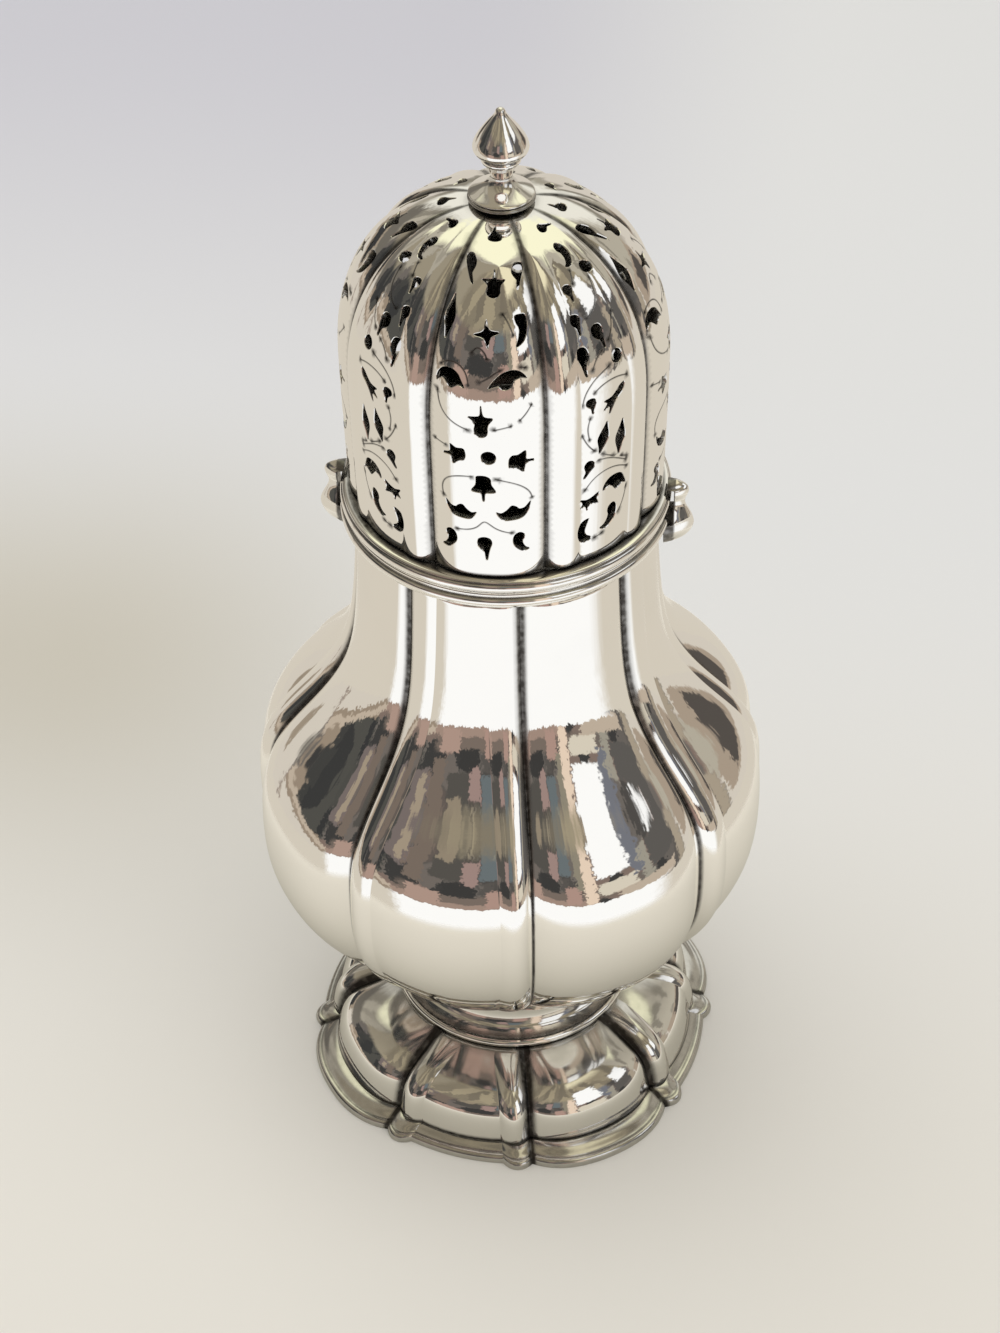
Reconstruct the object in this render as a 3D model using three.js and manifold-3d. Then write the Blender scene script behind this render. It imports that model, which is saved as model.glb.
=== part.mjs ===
// A silver sugar caster: a lobed pear-shaped body on a lobed foot, with a tall pierced dome for a
// cover. Two lugs on the cover pass through notches in the body's rim and turn under it.
// Millimetres, +Z up, the origin on the axis at the level that the foot stands on.
import * as THREE from "three";
import { mergeVertices } from "three/addons/utils/BufferGeometryUtils.js";
import Module from "manifold-3d";

const wasm = await Module();
wasm.setup();

// Clearances and sheet
const seatGap = 0.3;
const runningGap = 0.4;
const sheet = 0.9;
const cutOverrun = 1.5;

// Foot
const footRadius = 34.9;
const flangeHeight = 2.6;
const flangeWidth = 6;
const flangeGroove = 2.3;
const flangeShelf = 3.9;
const footDomeHeight = 10.4;
const footDomeGroove = 2.2;
const footWireRadius = 0.7;
const footWireSeatRadius = 18.9;
const footNeckWaistRadius = 15.8;
const footNeckHeight = 4.6;

// Body
const bellyRadius = 40.2;
const bodyHeight = 91.2;
const bodySeatInset = 0.3;
const bodyGroove = 2.9;
const bodyTurn = THREE.MathUtils.degToRad(34);

// Rims
const rimRadius = 24;
const rimOverhang = 1.7;
const bodyRimHeight = 2.5;
const bodyRimWidth = 4.1;
const coverRimHeight = 2;
const coverRimWidth = 4.2;
const bezelWall = 0.7;
const bezelReach = 5;

// Cover
const coverLedge = 1;
const coverWallHeight = 22.2;
const coverDomeHeight = 24.4;
const domeFullness = 2.35;
const coverGroove = 1.3;
const coverSheet = 0.8;

// The radius of a round pierced hole, which sizes the other pierced shapes
const pierceRadius = 0.85;

// Strips that border every second sector, on the cover, the body and the foot alike
const stripWidth = 5.1;

// Lugs
const lugHeight = 11;
const lugWidth = 6.4;
const lugProud = 3.3;
const lugDrop = 5;
const lugHookClearance = 0.7;
const lugTabReach = 1.6;
const notchClearance = 0.5;

// Finial and its fixing
const finialRadius = 3.75;
const finialHeight = 12.7;
const plateRadius = 4.6;
const plateThickness = 0.5;
const studRadius = 1;
const studInFinial = 4;
const studBelowNut = 0.8;
const washerRadius = 3.4;
const washerThickness = 0.6;
const nutRadius = 2.6;
const nutThickness = 1.8;

// Radii that follow from the others
const footDomeRadius = footRadius - flangeShelf;
const bodyBaseRadius = footNeckWaistRadius - bodySeatInset;
const mouthRadius = rimRadius - rimOverhang;
const lugHookRadius = mouthRadius + lugHookClearance;
const coverRimBore = rimRadius - coverRimWidth;
const coverRadius = rimRadius - coverLedge;

// Levels, from the ground up
const footDomeBase = flangeHeight + seatGap;
const footDomeTop = footDomeBase + footDomeHeight;
const footWireCentre = footDomeTop + seatGap + footWireRadius;
const footNeckBase = footWireCentre + footWireRadius + seatGap;
const bodyBase = footNeckBase + footNeckHeight + seatGap;
const bodyTop = bodyBase + bodyHeight;
const bodyRimBase = bodyTop + seatGap;
const coverRimBase = bodyRimBase + bodyRimHeight + seatGap;
const coverRimTop = coverRimBase + coverRimHeight;
const coverBase = coverRimTop + seatGap;
const coverShoulder = coverBase + coverWallHeight;
const coverTop = coverShoulder + coverDomeHeight;
const plateBase = coverTop + seatGap;
const finialBase = plateBase + plateThickness + seatGap;

// Plan forms: how the radius rises from the grooves, as shares of the groove depth
const quarter = Math.PI / 2;
const bodyPlan = { lobeHalf: quarter / 4, crestShare: 0.78, edgeShare: 0.55, bumpShare: 0.22 };
const footPlan = { lobeHalf: quarter / 4, crestShare: -0.13, edgeShare: -0.1, bumpShare: 0.6 };
const footDomePlan = { lobeHalf: quarter / 4, crestShare: 0.5, edgeShare: 0.42, bumpShare: 0.4 };
const coverPlan = {
  lobeHalf: THREE.MathUtils.degToRad(21.2), crestShare: 0.62, edgeShare: 0.5, bumpShare: 0.34,
};
const lobeColumnShares = [-0.75, -0.3, 0.3, 0.75];
const strapColumnShares = [-0.45, 0.45];
const stripColumnShare = 0.45;
const lobeRise = 3;
const stripMostShare = 0.62;

// Facets round the turned pieces and round the wire's section
const roundSteps = 40;
const wireSteps = 32;
const smallSteps = 16;
const wireCorners = 6;

// Each place round the turn as its angle and its share of the groove depth
function planPlaces(plan, radius) {
  const strapHalf = quarter / 2 - plan.lobeHalf;
  const edge = strapHalf - Math.min(stripWidth / radius, stripMostShare * strapHalf);
  const stripShare = (s) => plan.edgeShare * (1 - s ** lobeRise) + plan.bumpShare * 4 * s * (1 - s);
  const strip = edge + stripColumnShare * (strapHalf - edge);
  const places = [];
  for (let turn = 0; turn < 4; turn += 1) {
    const lobe = turn * quarter;
    const strap = lobe + quarter / 2;
    for (const u of lobeColumnShares) {
      places.push([lobe + u * plan.lobeHalf, 1 - Math.abs(u) ** lobeRise]);
    }
    places.push([strap - strapHalf, 0]);
    places.push([strap - strip, stripShare(stripColumnShare)]);
    places.push([strap - edge, plan.edgeShare]);
    for (const u of strapColumnShares) {
      const rise = (plan.crestShare - plan.edgeShare) * (1 - u * u);
      places.push([strap + u * edge, plan.edgeShare + rise]);
    }
    places.push([strap + edge, plan.edgeShare]);
    places.push([strap + strip, stripShare(stripColumnShare)]);
    places.push([strap + strapHalf, 0]);
  }
  return places;
}

// One lobed ring of points at a height, measured from the front and turned about the axis
function lobedRing(plan, crest, groove, height, turn, drop = 0) {
  return planPlaces(plan, crest).map(([angle, share]) => {
    const r = crest - groove * (1 - share);
    return new THREE.Vector3(
      r * Math.sin(angle + turn), -r * Math.cos(angle + turn), height - drop * (1 - share),
    );
  });
}

// A closed skin over a run of rings; the run closes on itself, or ends in a point at each end
function skin(rings, closedRun) {
  const count = rings[0].length;
  const positions = rings.flat().flatMap((p) => p.toArray());
  const faces = [];
  const runs = closedRun ? rings.length : rings.length - 1;
  for (let i = 0; i < runs; i += 1) {
    const low = i * count;
    const high = ((i + 1) % rings.length) * count;
    for (let j = 0; j < count; j += 1) {
      const k = (j + 1) % count;
      faces.push(low + j, low + k, high + k, low + j, high + k, high + j);
    }
  }
  if (!closedRun) {
    for (const [start, up] of [[0, false], [(rings.length - 1) * count, true]]) {
      const centre = new THREE.Vector3(0, 0, positions[start * 3 + 2]);
      positions.push(...centre.toArray());
      const pole = positions.length / 3 - 1;
      for (let j = 0; j < count; j += 1) {
        const k = (j + 1) % count;
        faces.push(pole, start + (up ? j : k), start + (up ? k : j));
      }
    }
  }
  const geometry = new THREE.BufferGeometry();
  geometry.setAttribute("position", new THREE.Float32BufferAttribute(positions, 3));
  geometry.setIndex(faces);
  return geometry;
}

// A plain turned piece from its section, radius and height; a section off the axis closes on itself
function turned(section, steps) {
  const onAxis = section[0][0] === 0;
  const run = onAxis ? section : [...section, section[0]];
  const geometry = new THREE.LatheGeometry(run.map(([r, z]) => new THREE.Vector2(r, z)), steps);
  geometry.rotateX(Math.PI / 2);
  return geometry;
}

function toSolid(geometry) {
  const bare = geometry.clone();
  bare.deleteAttribute("normal");
  bare.deleteAttribute("uv");
  const merged = mergeVertices(bare);
  return new wasm.Manifold(new wasm.Mesh({
    numProp: 3,
    vertProperties: new Float32Array(merged.attributes.position.array),
    triVerts: new Uint32Array(merged.index.array),
  }));
}

function toGeometry(solid) {
  const mesh = solid.getMesh();
  const geometry = new THREE.BufferGeometry();
  geometry.setAttribute("position", new THREE.Float32BufferAttribute(mesh.vertProperties, 3));
  geometry.setIndex(new THREE.Uint32BufferAttribute(mesh.triVerts, 1));
  return geometry;
}

function cut(geometry, tools) {
  let solid = toSolid(geometry);
  for (const tool of tools) {
    solid = solid.subtract(toSolid(tool));
  }
  return toGeometry(solid);
}

// Foot: an applied edge, a lobed dome, a wire ring and a waisted neck

// The edge's outer profile: shares of its width drawn in, and of its height
const flangeProfileShares = [[0, 0], [0, 0.34], [0.08, 0.54], [0.27, 0.65], [0.46, 0.88], [0.6, 1]];

function footFlange() {
  const ring = (inset, z) => lobedRing(footPlan, footRadius - inset, flangeGroove, z, bodyTurn);
  const outer = flangeProfileShares.map(([inset, up]) => ring(inset * flangeWidth, up * flangeHeight));
  const inner = [ring(flangeWidth, flangeHeight), ring(flangeWidth, 0)];
  return skin([...outer, ...inner], true);
}

// The dome's profile: shares of its height, of the way out from the wire to its edge, and of its
// groove's depth inwards and down. It is steep at its edge and almost flat under the wire
const footDomeShares = [
  [0, 1, 0.8, 0], [0.16, 0.99, 0.9, 0], [0.32, 0.97, 1, 0], [0.48, 0.93, 1, 0.05], [0.64, 0.845, 0.9, 0.3],
  [0.78, 0.71, 0.65, 0.6], [0.89, 0.52, 0.4, 0.75], [0.965, 0.27, 0.2, 0.6], [1, 0, 0.1, 0.15],
];

function footDome() {
  const ring = ([up, out, groove, drop], inset) => lobedRing(
    footDomePlan, footWireSeatRadius + out * (footDomeRadius - footWireSeatRadius) - inset,
    groove * footDomeGroove, footDomeBase + up * (footDomeHeight - inset), bodyTurn, drop * footDomeGroove,
  );
  const outer = footDomeShares.map((row) => ring(row, 0));
  const inner = footDomeShares.filter((row, i) => i % 2 === 0).map((row) => ring(row, sheet));
  return skin([...outer, ...inner.reverse()], true);
}

function footWire() {
  const section = [];
  for (let i = 0; i < wireCorners; i += 1) {
    const a = (i + 0.5) * 2 * Math.PI / wireCorners;
    section.push([footWireSeatRadius + footWireRadius * Math.cos(a),
      footWireCentre + footWireRadius * Math.sin(a)]);
  }
  return turned(section, wireSteps);
}

// The neck's profile: shares of its height, and of the way from its waist to its lower edge
const footNeckShares = [[0, 1], [0.25, 0.5], [0.55, 0.14], [0.8, 0], [1, 0.06]];

function footNeck() {
  const flare = footWireSeatRadius - footNeckWaistRadius;
  const outer = footNeckShares.map(([up, out]) => [
    footNeckWaistRadius + out * flare, footNeckBase + up * footNeckHeight,
  ]);
  const inner = outer.map(([r, z]) => [r - sheet, z]).reverse();
  return turned([...outer, ...inner], roundSteps);
}

// Body: raised sheet, closed at the bottom and open at the top

// The body's profile: shares of its height, of the way out to the belly, and of its groove depth.
// The lower part goes out from the seat on the foot, the upper part from the mouth
const lowerBodyShares = [
  [0, 0, 0.1], [0.02, 0.06, 0.2], [0.052, 0.186, 0.32], [0.107, 0.43, 0.52], [0.171, 0.663, 0.72],
  [0.23, 0.837, 0.85], [0.302, 0.967, 0.96], [0.37, 1, 1],
];
const upperBodyShares = [
  [0.432, 0.997, 1], [0.48, 0.982, 0.97], [0.525, 0.922, 0.9], [0.575, 0.75, 0.8], [0.63, 0.48, 0.7],
  [0.7, 0.212, 0.59], [0.79, 0.062, 0.54], [1, 0, 0.46],
];
const outToBelly = (rows, start) => rows.map(([up, out, groove]) => [
  up, start + out * (bellyRadius - start), groove,
]);
const bodyRows = [...outToBelly(lowerBodyShares, bodyBaseRadius), ...outToBelly(upperBodyShares, mouthRadius)];

// Where the belly turns into the neck; below it the inner face has every second row
const neckStartShare = 0.5;

function body() {
  const ring = ([up, radius, groove], inset, lowest) => {
    const height = Math.max(bodyBase + up * bodyHeight, lowest);
    return lobedRing(bodyPlan, radius - inset, groove * bodyGroove, height, bodyTurn);
  };
  const innerRows = bodyRows.filter(([up], i) => up > neckStartShare || i % 2 === 1);
  const outer = bodyRows.map((row) => ring(row, 0, bodyBase));
  const inner = innerRows.map((row) => ring(row, sheet, bodyBase + sheet));
  return skin([...outer, ...inner.reverse()], false);
}

// Rims: a moulded ring on the body's mouth, one on the cover's edge, and the sleeve that centres them

// The moulding's profile: shares of its height, and of its width drawn in from the bead
const bodyRimShares = [[0, 0.16], [0.12, 0.08], [0.3, 0.02], [0.5, 0], [0.68, 0.05], [0.76, 0.13], [1, 0.13]];
const coverRimShares = [[0, 0.1], [0.3, 0.03], [0.5, 0.02], [0.68, 0.05], [0.78, 0.12], [1, 0.3]];

function moulding(shares, base, height, width) {
  const outer = shares.map(([up, inset]) => [rimRadius - inset * width, base + up * height]);
  return [...outer, [rimRadius - width, base + height], [rimRadius - width, base]];
}

function bodyRim() {
  const plain = turned(moulding(bodyRimShares, bodyRimBase, bodyRimHeight, bodyRimWidth), roundSteps);
  const reach = rimRadius + cutOverrun - lugHookRadius + runningGap;
  const notch = new THREE.BoxGeometry(reach, lugWidth + 2 * notchClearance, bodyRimHeight + 2 * cutOverrun);
  const along = rimRadius + cutOverrun - reach / 2;
  const middle = bodyRimBase + bodyRimHeight / 2;
  return cut(plain, [1, -1].map((side) => notch.clone().translate(side * along, 0, middle)));
}

function coverRim() {
  return turned(moulding(coverRimShares, coverRimBase, coverRimHeight, coverRimWidth), roundSteps);
}

function coverBezel() {
  const outer = coverRimBore - seatGap;
  const low = coverRimBase - bezelReach;
  return turned([
    [outer, low], [outer, coverRimTop], [outer - bezelWall, coverRimTop], [outer - bezelWall, low],
  ], wireSteps);
}

// Cover: one raised and pierced sheet, straight at the side and domed at the top

// The dome's rows as shares of the quarter turn from the shoulder to the top
const domeRowShares = [0, 0.25, 0.45, 0.62, 0.77, 0.9];
const coverBaseRadiusShare = 0.983;
const domeFadeShare = 0.5;
const coverBore = studRadius + runningGap;

// The dome's crest is a superellipse: its radius and rise at an angle from the shoulder
function domeCrest(angle, depth) {
  const power = 2 / domeFullness;
  return [
    (coverRadius - depth) * Math.cos(angle) ** power, (coverDomeHeight - depth) * Math.sin(angle) ** power,
  ];
}

// The rise of the dome's crest at a radius
function domeRise(radius, depth) {
  const share = radius / (coverRadius - depth);
  return (coverDomeHeight - depth) * (1 - share ** domeFullness) ** (1 / domeFullness);
}

// The crest radius, height and groove depth at each row of the cover, for a given sheet depth
function coverRows(depth) {
  const rows = [[coverRadius * coverBaseRadiusShare - depth, coverBase, coverGroove]];
  for (const share of domeRowShares) {
    const [r, rise] = domeCrest(share * quarter, depth);
    const fade = Math.min(1, Math.cos(share * quarter) / domeFadeShare);
    rows.push([r, coverShoulder + rise, coverGroove * fade * fade]);
  }
  rows.push([coverBore, coverShoulder + domeRise(coverBore, depth), 0]);
  return rows;
}

// A place on the cover's crest line, by its share of the way from the base to the top
const crestSteps = 60;
const crestPoints = [new THREE.Vector2(coverRadius * coverBaseRadiusShare, coverBase)];
for (let i = 0; i <= crestSteps; i += 1) {
  const [r, rise] = domeCrest(i / crestSteps * quarter, 0);
  crestPoints.push(new THREE.Vector2(r, coverShoulder + rise));
}
const crestLine = new THREE.CurvePath();
crestPoints.slice(1).forEach((point, i) => crestLine.add(new THREE.LineCurve(crestPoints[i], point)));

function crestPlace(share) {
  const point = crestLine.getPoint(share);
  const along = crestLine.getTangent(share);
  return { r: point.x, z: point.y, out: new THREE.Vector2(along.y, -along.x) };
}

// Pierced shapes one unit across from the middle to the edge, drawn with their heads up
const outlineSteps = 6;
const flowerPetals = 4;
const dropTaperShare = 1.6;
const commaBendShare = 0.55;
const crescentThinShare = 0.3;
const flowerWaistShare = 0.42;
const tulipShares = [
  [0, -1], [0.95, -0.42], [0.58, 0.12], [0.45, 0.85], [-0.45, 0.85], [-0.58, 0.12], [-0.95, -0.42],
];

function outline(kind) {
  const round = [...Array(outlineSteps).keys()].map((i) => i * 2 * Math.PI / outlineSteps);
  if (kind === "dot") {
    return round.map((a) => [Math.sin(a), Math.cos(a)]);
  }
  if (kind === "drop") {
    return round.map((a) => [Math.sin(a) * Math.sin(a / 2) ** dropTaperShare, -Math.cos(a)]);
  }
  if (kind === "comma") {
    return outline("drop").map(([x, y]) => [x - commaBendShare * (1 - y) ** 2 / 2, y]);
  }
  if (kind === "leaf") {
    return round.map((a) => [Math.sin(a) * Math.abs(Math.sin(a)), Math.cos(a)]);
  }
  if (kind === "crescent") {
    return round.map((a) => [Math.cos(a), Math.sin(a) * (a < Math.PI ? 1 : -crescentThinShare)]);
  }
  if (kind === "flower") {
    return [...Array(2 * flowerPetals).keys()].map((i) => {
      const a = i * Math.PI / flowerPetals;
      const reach = i % 2 ? flowerWaistShare : 1;
      return [reach * Math.sin(a), reach * Math.cos(a)];
    });
  }
  return tulipShares;
}

// Where the shapes lie: kind, share of the sector's half angle, length up the crest line as a share,
// turn in degrees, half width and half height as shares of the hole radius, and whether it is flipped
const lobePatternShares = [
  ["drop", -0.04, 0.082, 0, 1, 1.9],
  ["comma", -0.64, 0.1, -25, 1, 1.7], ["comma", 0.56, 0.1, 25, 1, 1.7, true],
  ["crescent", -0.45, 0.192, 190, 2.6, 1.6], ["crescent", 0.42, 0.192, 170, 2.6, 1.6],
  ["tulip", -0.04, 0.26, 0, 2, 2.2], ["dot", 0, 0.35, 0, 1, 1],
  ["tulip", -0.55, 0.345, 90, 1.8, 2.2], ["tulip", 0.55, 0.335, -90, 1.8, 2.2],
  ["flower", -0.04, 0.44, 0, 2, 2.2],
  ["crescent", -0.6, 0.54, 5, 2.4, 1.3], ["crescent", 0.4, 0.548, -5, 2.8, 1.3],
  ["leaf", -0.77, 0.68, 0, 1, 2.9], ["flower", 0, 0.655, 0, 1.9, 2.1], ["comma", 0.66, 0.655, 0, 1, 2, true],
  ["tulip", 0.08, 0.765, 180, 1.5, 2.1], ["drop", -0.58, 0.8, 25, 1, 2.2], ["drop", 0.7, 0.78, -15, 1, 2.2],
  ["drop", 0, 0.896, 180, 1, 1.6],
];
const strapPatternShares = [
  ["comma", -0.37, 0.085, 180, 1, 1.7], ["comma", 0.08, 0.1, 10, 1, 1.6, true],
  ["tulip", -0.31, 0.17, -90, 1.4, 1.5], ["crescent", 0.2, 0.192, -10, 2.2, 1.2],
  ["drop", -0.34, 0.268, 200, 0.8, 1.4], ["leaf", -0.08, 0.34, 12, 1, 2.4], ["leaf", 0.26, 0.316, 6, 1, 2.4],
  ["leaf", 0.12, 0.428, 55, 1.1, 2.7], ["drop", -0.3, 0.436, 0, 0.8, 1.1], ["dot", 0.27, 0.532, 0, 1, 1],
  ["drop", -0.33, 0.55, 0, 0.9, 2.1], ["drop", 0.02, 0.597, 10, 1, 1.9], ["drop", -0.33, 0.638, 0, 0.8, 1.6],
  ["drop", -0.26, 0.712, 0, 0.8, 1.3], ["dot", 0.42, 0.75, 0, 1, 1], ["comma", 0.1, 0.8, 0, 1, 2.1],
  ["drop", 0.2, 0.88, 80, 1, 1.4],
];

// A straight punch for one shape, square to the sheet
function punch([kind, aside, up, degrees, wide, tall, flipped], centre, half, mirrored) {
  const place = crestPlace(up);
  const hand = (flipped ? -1 : 1) * (mirrored ? -1 : 1);
  const shape = new THREE.Shape(outline(kind).map(([x, y]) => new THREE.Vector2(
    hand * x * wide * pierceRadius, y * tall * pierceRadius,
  )));
  const depth = coverGroove + coverSheet + 2 * cutOverrun;
  const punchBody = new THREE.ExtrudeGeometry(shape, { depth, bevelEnabled: false });
  punchBody.rotateZ((mirrored ? 1 : -1) * THREE.MathUtils.degToRad(degrees));
  punchBody.translate(0, 0, cutOverrun - depth);
  const angle = centre + (mirrored ? -1 : 1) * aside * half;
  const side = new THREE.Vector3(Math.cos(angle), Math.sin(angle), 0);
  const front = new THREE.Vector3(Math.sin(angle), -Math.cos(angle), 0);
  const outward = front.clone().multiplyScalar(place.out.x).setZ(place.out.y);
  const upward = new THREE.Vector3().crossVectors(outward, side);
  const frame = new THREE.Matrix4().makeBasis(side, upward, outward);
  frame.setPosition(front.clone().multiplyScalar(place.r).setZ(place.z));
  return punchBody.applyMatrix4(frame);
}

function coverDome() {
  const rings = (depth) => coverRows(depth).map(([r, z, groove]) => lobedRing(coverPlan, r, groove, z, 0));
  const plain = skin([...rings(0), ...rings(coverSheet).reverse()], true);
  const punches = [];
  for (let turn = 0; turn < 4; turn += 1) {
    const lobe = turn * quarter;
    for (const row of lobePatternShares) {
      punches.push(punch(row, lobe, coverPlan.lobeHalf, false));
    }
    for (const row of strapPatternShares) {
      punches.push(punch(row, lobe + quarter / 2, quarter / 2 - coverPlan.lobeHalf, turn % 2 === 1));
    }
  }
  return cut(plain, punches);
}

// Lugs: each a strap on the cover's side that hooks under the body's rim
const lugBase = bodyRimBase - lugDrop;

// Its side view as shares of how proud it stands and of its height, from the hook's tip round
const lugSideShares = [
  [-0.15, 0], [0.4, 0.03], [0.8, 0.14], [1, 0.32], [0.95, 0.47], [0.66, 0.6], [0.6, 0.7], [0.72, 0.8],
  [0.68, 0.9],
];
// Its front view as shares of its half width and of its height
const lugFrontShares = [
  [0, 0], [0.5, 0.05], [0.88, 0.16], [1, 0.31], [0.86, 0.47], [0.5, 0.6], [0.42, 0.7], [0.54, 0.82],
  [0.48, 0.93], [0.2, 1],
];

function lug(side) {
  const inner = rimRadius + seatGap;
  const ledge = coverRadius + seatGap;
  const hookTop = bodyRimBase - seatGap;
  const sideView = new THREE.Shape([
    ...lugSideShares.map(([out, up]) => [rimRadius + out * lugProud, lugBase + up * lugHeight]),
    [ledge + lugTabReach, lugBase + lugHeight], [ledge, lugBase + lugHeight], [ledge, coverRimTop + seatGap],
    [inner, coverRimTop], [inner, hookTop], [lugHookRadius, hookTop], [lugHookRadius, lugBase + seatGap],
  ].map(([r, z]) => new THREE.Vector2(r, z)));
  const strap = new THREE.ExtrudeGeometry(sideView, { depth: lugWidth, bevelEnabled: false });
  strap.rotateX(Math.PI / 2).translate(0, lugWidth / 2, 0);
  const right = lugFrontShares.map(([across, up]) => [across * lugWidth / 2, lugBase + up * lugHeight]);
  const left = right.slice(1).map(([y, z]) => [-y, z]).reverse();
  const frontView = new THREE.Shape([...right, ...left].map(([y, z]) => new THREE.Vector2(y, z)));
  const reach = rimRadius + lugProud + cutOverrun;
  const silhouette = new THREE.ExtrudeGeometry(frontView, { depth: reach, bevelEnabled: false });
  silhouette.rotateX(Math.PI / 2).rotateZ(Math.PI / 2);
  const solid = toGeometry(toSolid(strap).intersect(toSolid(silhouette)));
  return side > 0 ? solid : solid.rotateZ(Math.PI);
}

// Finial: a turned bud on a stud, with a plate above the dome and a washer and nut below it

// The bud's profile: shares of its radius and its height
const finialShares = [
  [1, 0], [0.96, 0.035], [0.69, 0.07], [0.47, 0.115], [0.39, 0.17], [0.43, 0.25], [0.59, 0.34],
  [0.69, 0.395], [0.69, 0.43], [0.64, 0.45], [0.88, 0.49], [1, 0.545], [0.95, 0.6], [0.76, 0.685],
  [0.53, 0.78], [0.33, 0.865], [0.2, 0.93], [0.17, 0.965], [0, 1],
];

function finial() {
  const bore = studRadius + seatGap;
  const boreTop = finialBase + studInFinial + seatGap;
  const outer = finialShares.map(([out, up]) => [out * finialRadius, finialBase + up * finialHeight]);
  return turned([[0, boreTop], [bore, boreTop], [bore, finialBase], ...outer], smallSteps);
}

function finialPlate() {
  const bore = studRadius + seatGap;
  return turned([
    [bore, plateBase], [plateRadius, plateBase], [plateRadius, plateBase + plateThickness / 2],
    [plateRadius - plateThickness / 2, plateBase + plateThickness], [bore, plateBase + plateThickness],
  ], smallSteps);
}

// The dome's inner face at the washer's edge sets how high the washer can sit
const washerTop = coverShoulder + domeRise(washerRadius, coverSheet) - seatGap;
const nutTop = washerTop - washerThickness - seatGap;
const studBase = nutTop - nutThickness - studBelowNut;

function ringPlate(radius, top, thickness) {
  const bore = studRadius + seatGap;
  const bevel = thickness / 4;
  return turned([
    [bore, top - thickness], [radius - bevel, top - thickness], [radius, top - thickness + bevel],
    [radius, top - bevel], [radius - bevel, top], [bore, top],
  ], smallSteps);
}

function finialStud() {
  const top = finialBase + studInFinial;
  return turned([[0, studBase], [studRadius, studBase], [studRadius, top], [0, top]], smallSteps);
}

const silver = { color: 0xd9d7d0, roughness: 0.12, metalness: 1 };
const brightSilver = { color: 0xe2e0da, roughness: 0.1, metalness: 1 };
const dullSilver = { color: 0xa9a69e, roughness: 0.35, metalness: 1 };

const pieces = [
  ["foot_flange", footFlange, silver], ["foot_dome", footDome, silver], ["foot_ring", footWire, brightSilver],
  ["foot_neck", footNeck, silver], ["body", body, silver], ["body_rim", bodyRim, brightSilver],
  ["cover_rim", coverRim, brightSilver], ["cover_bezel", coverBezel, dullSilver],
  ["cover_dome", coverDome, silver], ["lug_right", () => lug(1), brightSilver],
  ["lug_left", () => lug(-1), brightSilver], ["finial_plate", finialPlate, dullSilver],
  ["finial", finial, brightSilver], ["finial_stud", finialStud, dullSilver],
  ["finial_washer", () => ringPlate(washerRadius, washerTop, washerThickness), dullSilver],
  ["finial_nut", () => ringPlate(nutRadius, nutTop, nutThickness), dullSilver],
];

const caster = new THREE.Group();
for (const [name, make, finish] of pieces) {
  const mesh = new THREE.Mesh(make(), new THREE.MeshStandardMaterial(finish));
  mesh.name = name;
  caster.add(mesh);
}

export default caster;
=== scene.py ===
# The looks of a silver sugar caster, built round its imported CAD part. Blender 4.5, metres, +Z up.
# Shapes are worked out in millimetres and scaled by MM as each mesh is made. Angles are in
# radians and are measured from the front (-Y) towards the right (+X).
import math

import bpy
import numpy as np
from mathutils import Matrix, Vector
from mathutils.geometry import delaunay_2d_cdt


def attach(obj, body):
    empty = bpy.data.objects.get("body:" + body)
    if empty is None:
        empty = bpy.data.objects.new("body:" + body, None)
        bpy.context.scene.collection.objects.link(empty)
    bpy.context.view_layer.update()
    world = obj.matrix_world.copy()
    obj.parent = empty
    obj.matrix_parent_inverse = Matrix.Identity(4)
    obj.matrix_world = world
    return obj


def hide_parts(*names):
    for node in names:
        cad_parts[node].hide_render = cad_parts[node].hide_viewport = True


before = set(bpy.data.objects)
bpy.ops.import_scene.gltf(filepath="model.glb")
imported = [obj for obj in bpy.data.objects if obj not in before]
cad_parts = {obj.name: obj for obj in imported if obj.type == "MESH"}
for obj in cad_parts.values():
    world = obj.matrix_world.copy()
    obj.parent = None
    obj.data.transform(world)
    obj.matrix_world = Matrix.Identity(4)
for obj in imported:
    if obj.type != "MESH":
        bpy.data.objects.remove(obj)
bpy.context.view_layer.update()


# Foot: an applied edge of cast moulding, a lobed dome raised from sheet, a ring of wire where
# the dome ends, and a plain waisted neck. All were soldered, and the joins are painted darker as shade.

MM = 0.001
QUARTER = math.pi / 2


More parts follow.
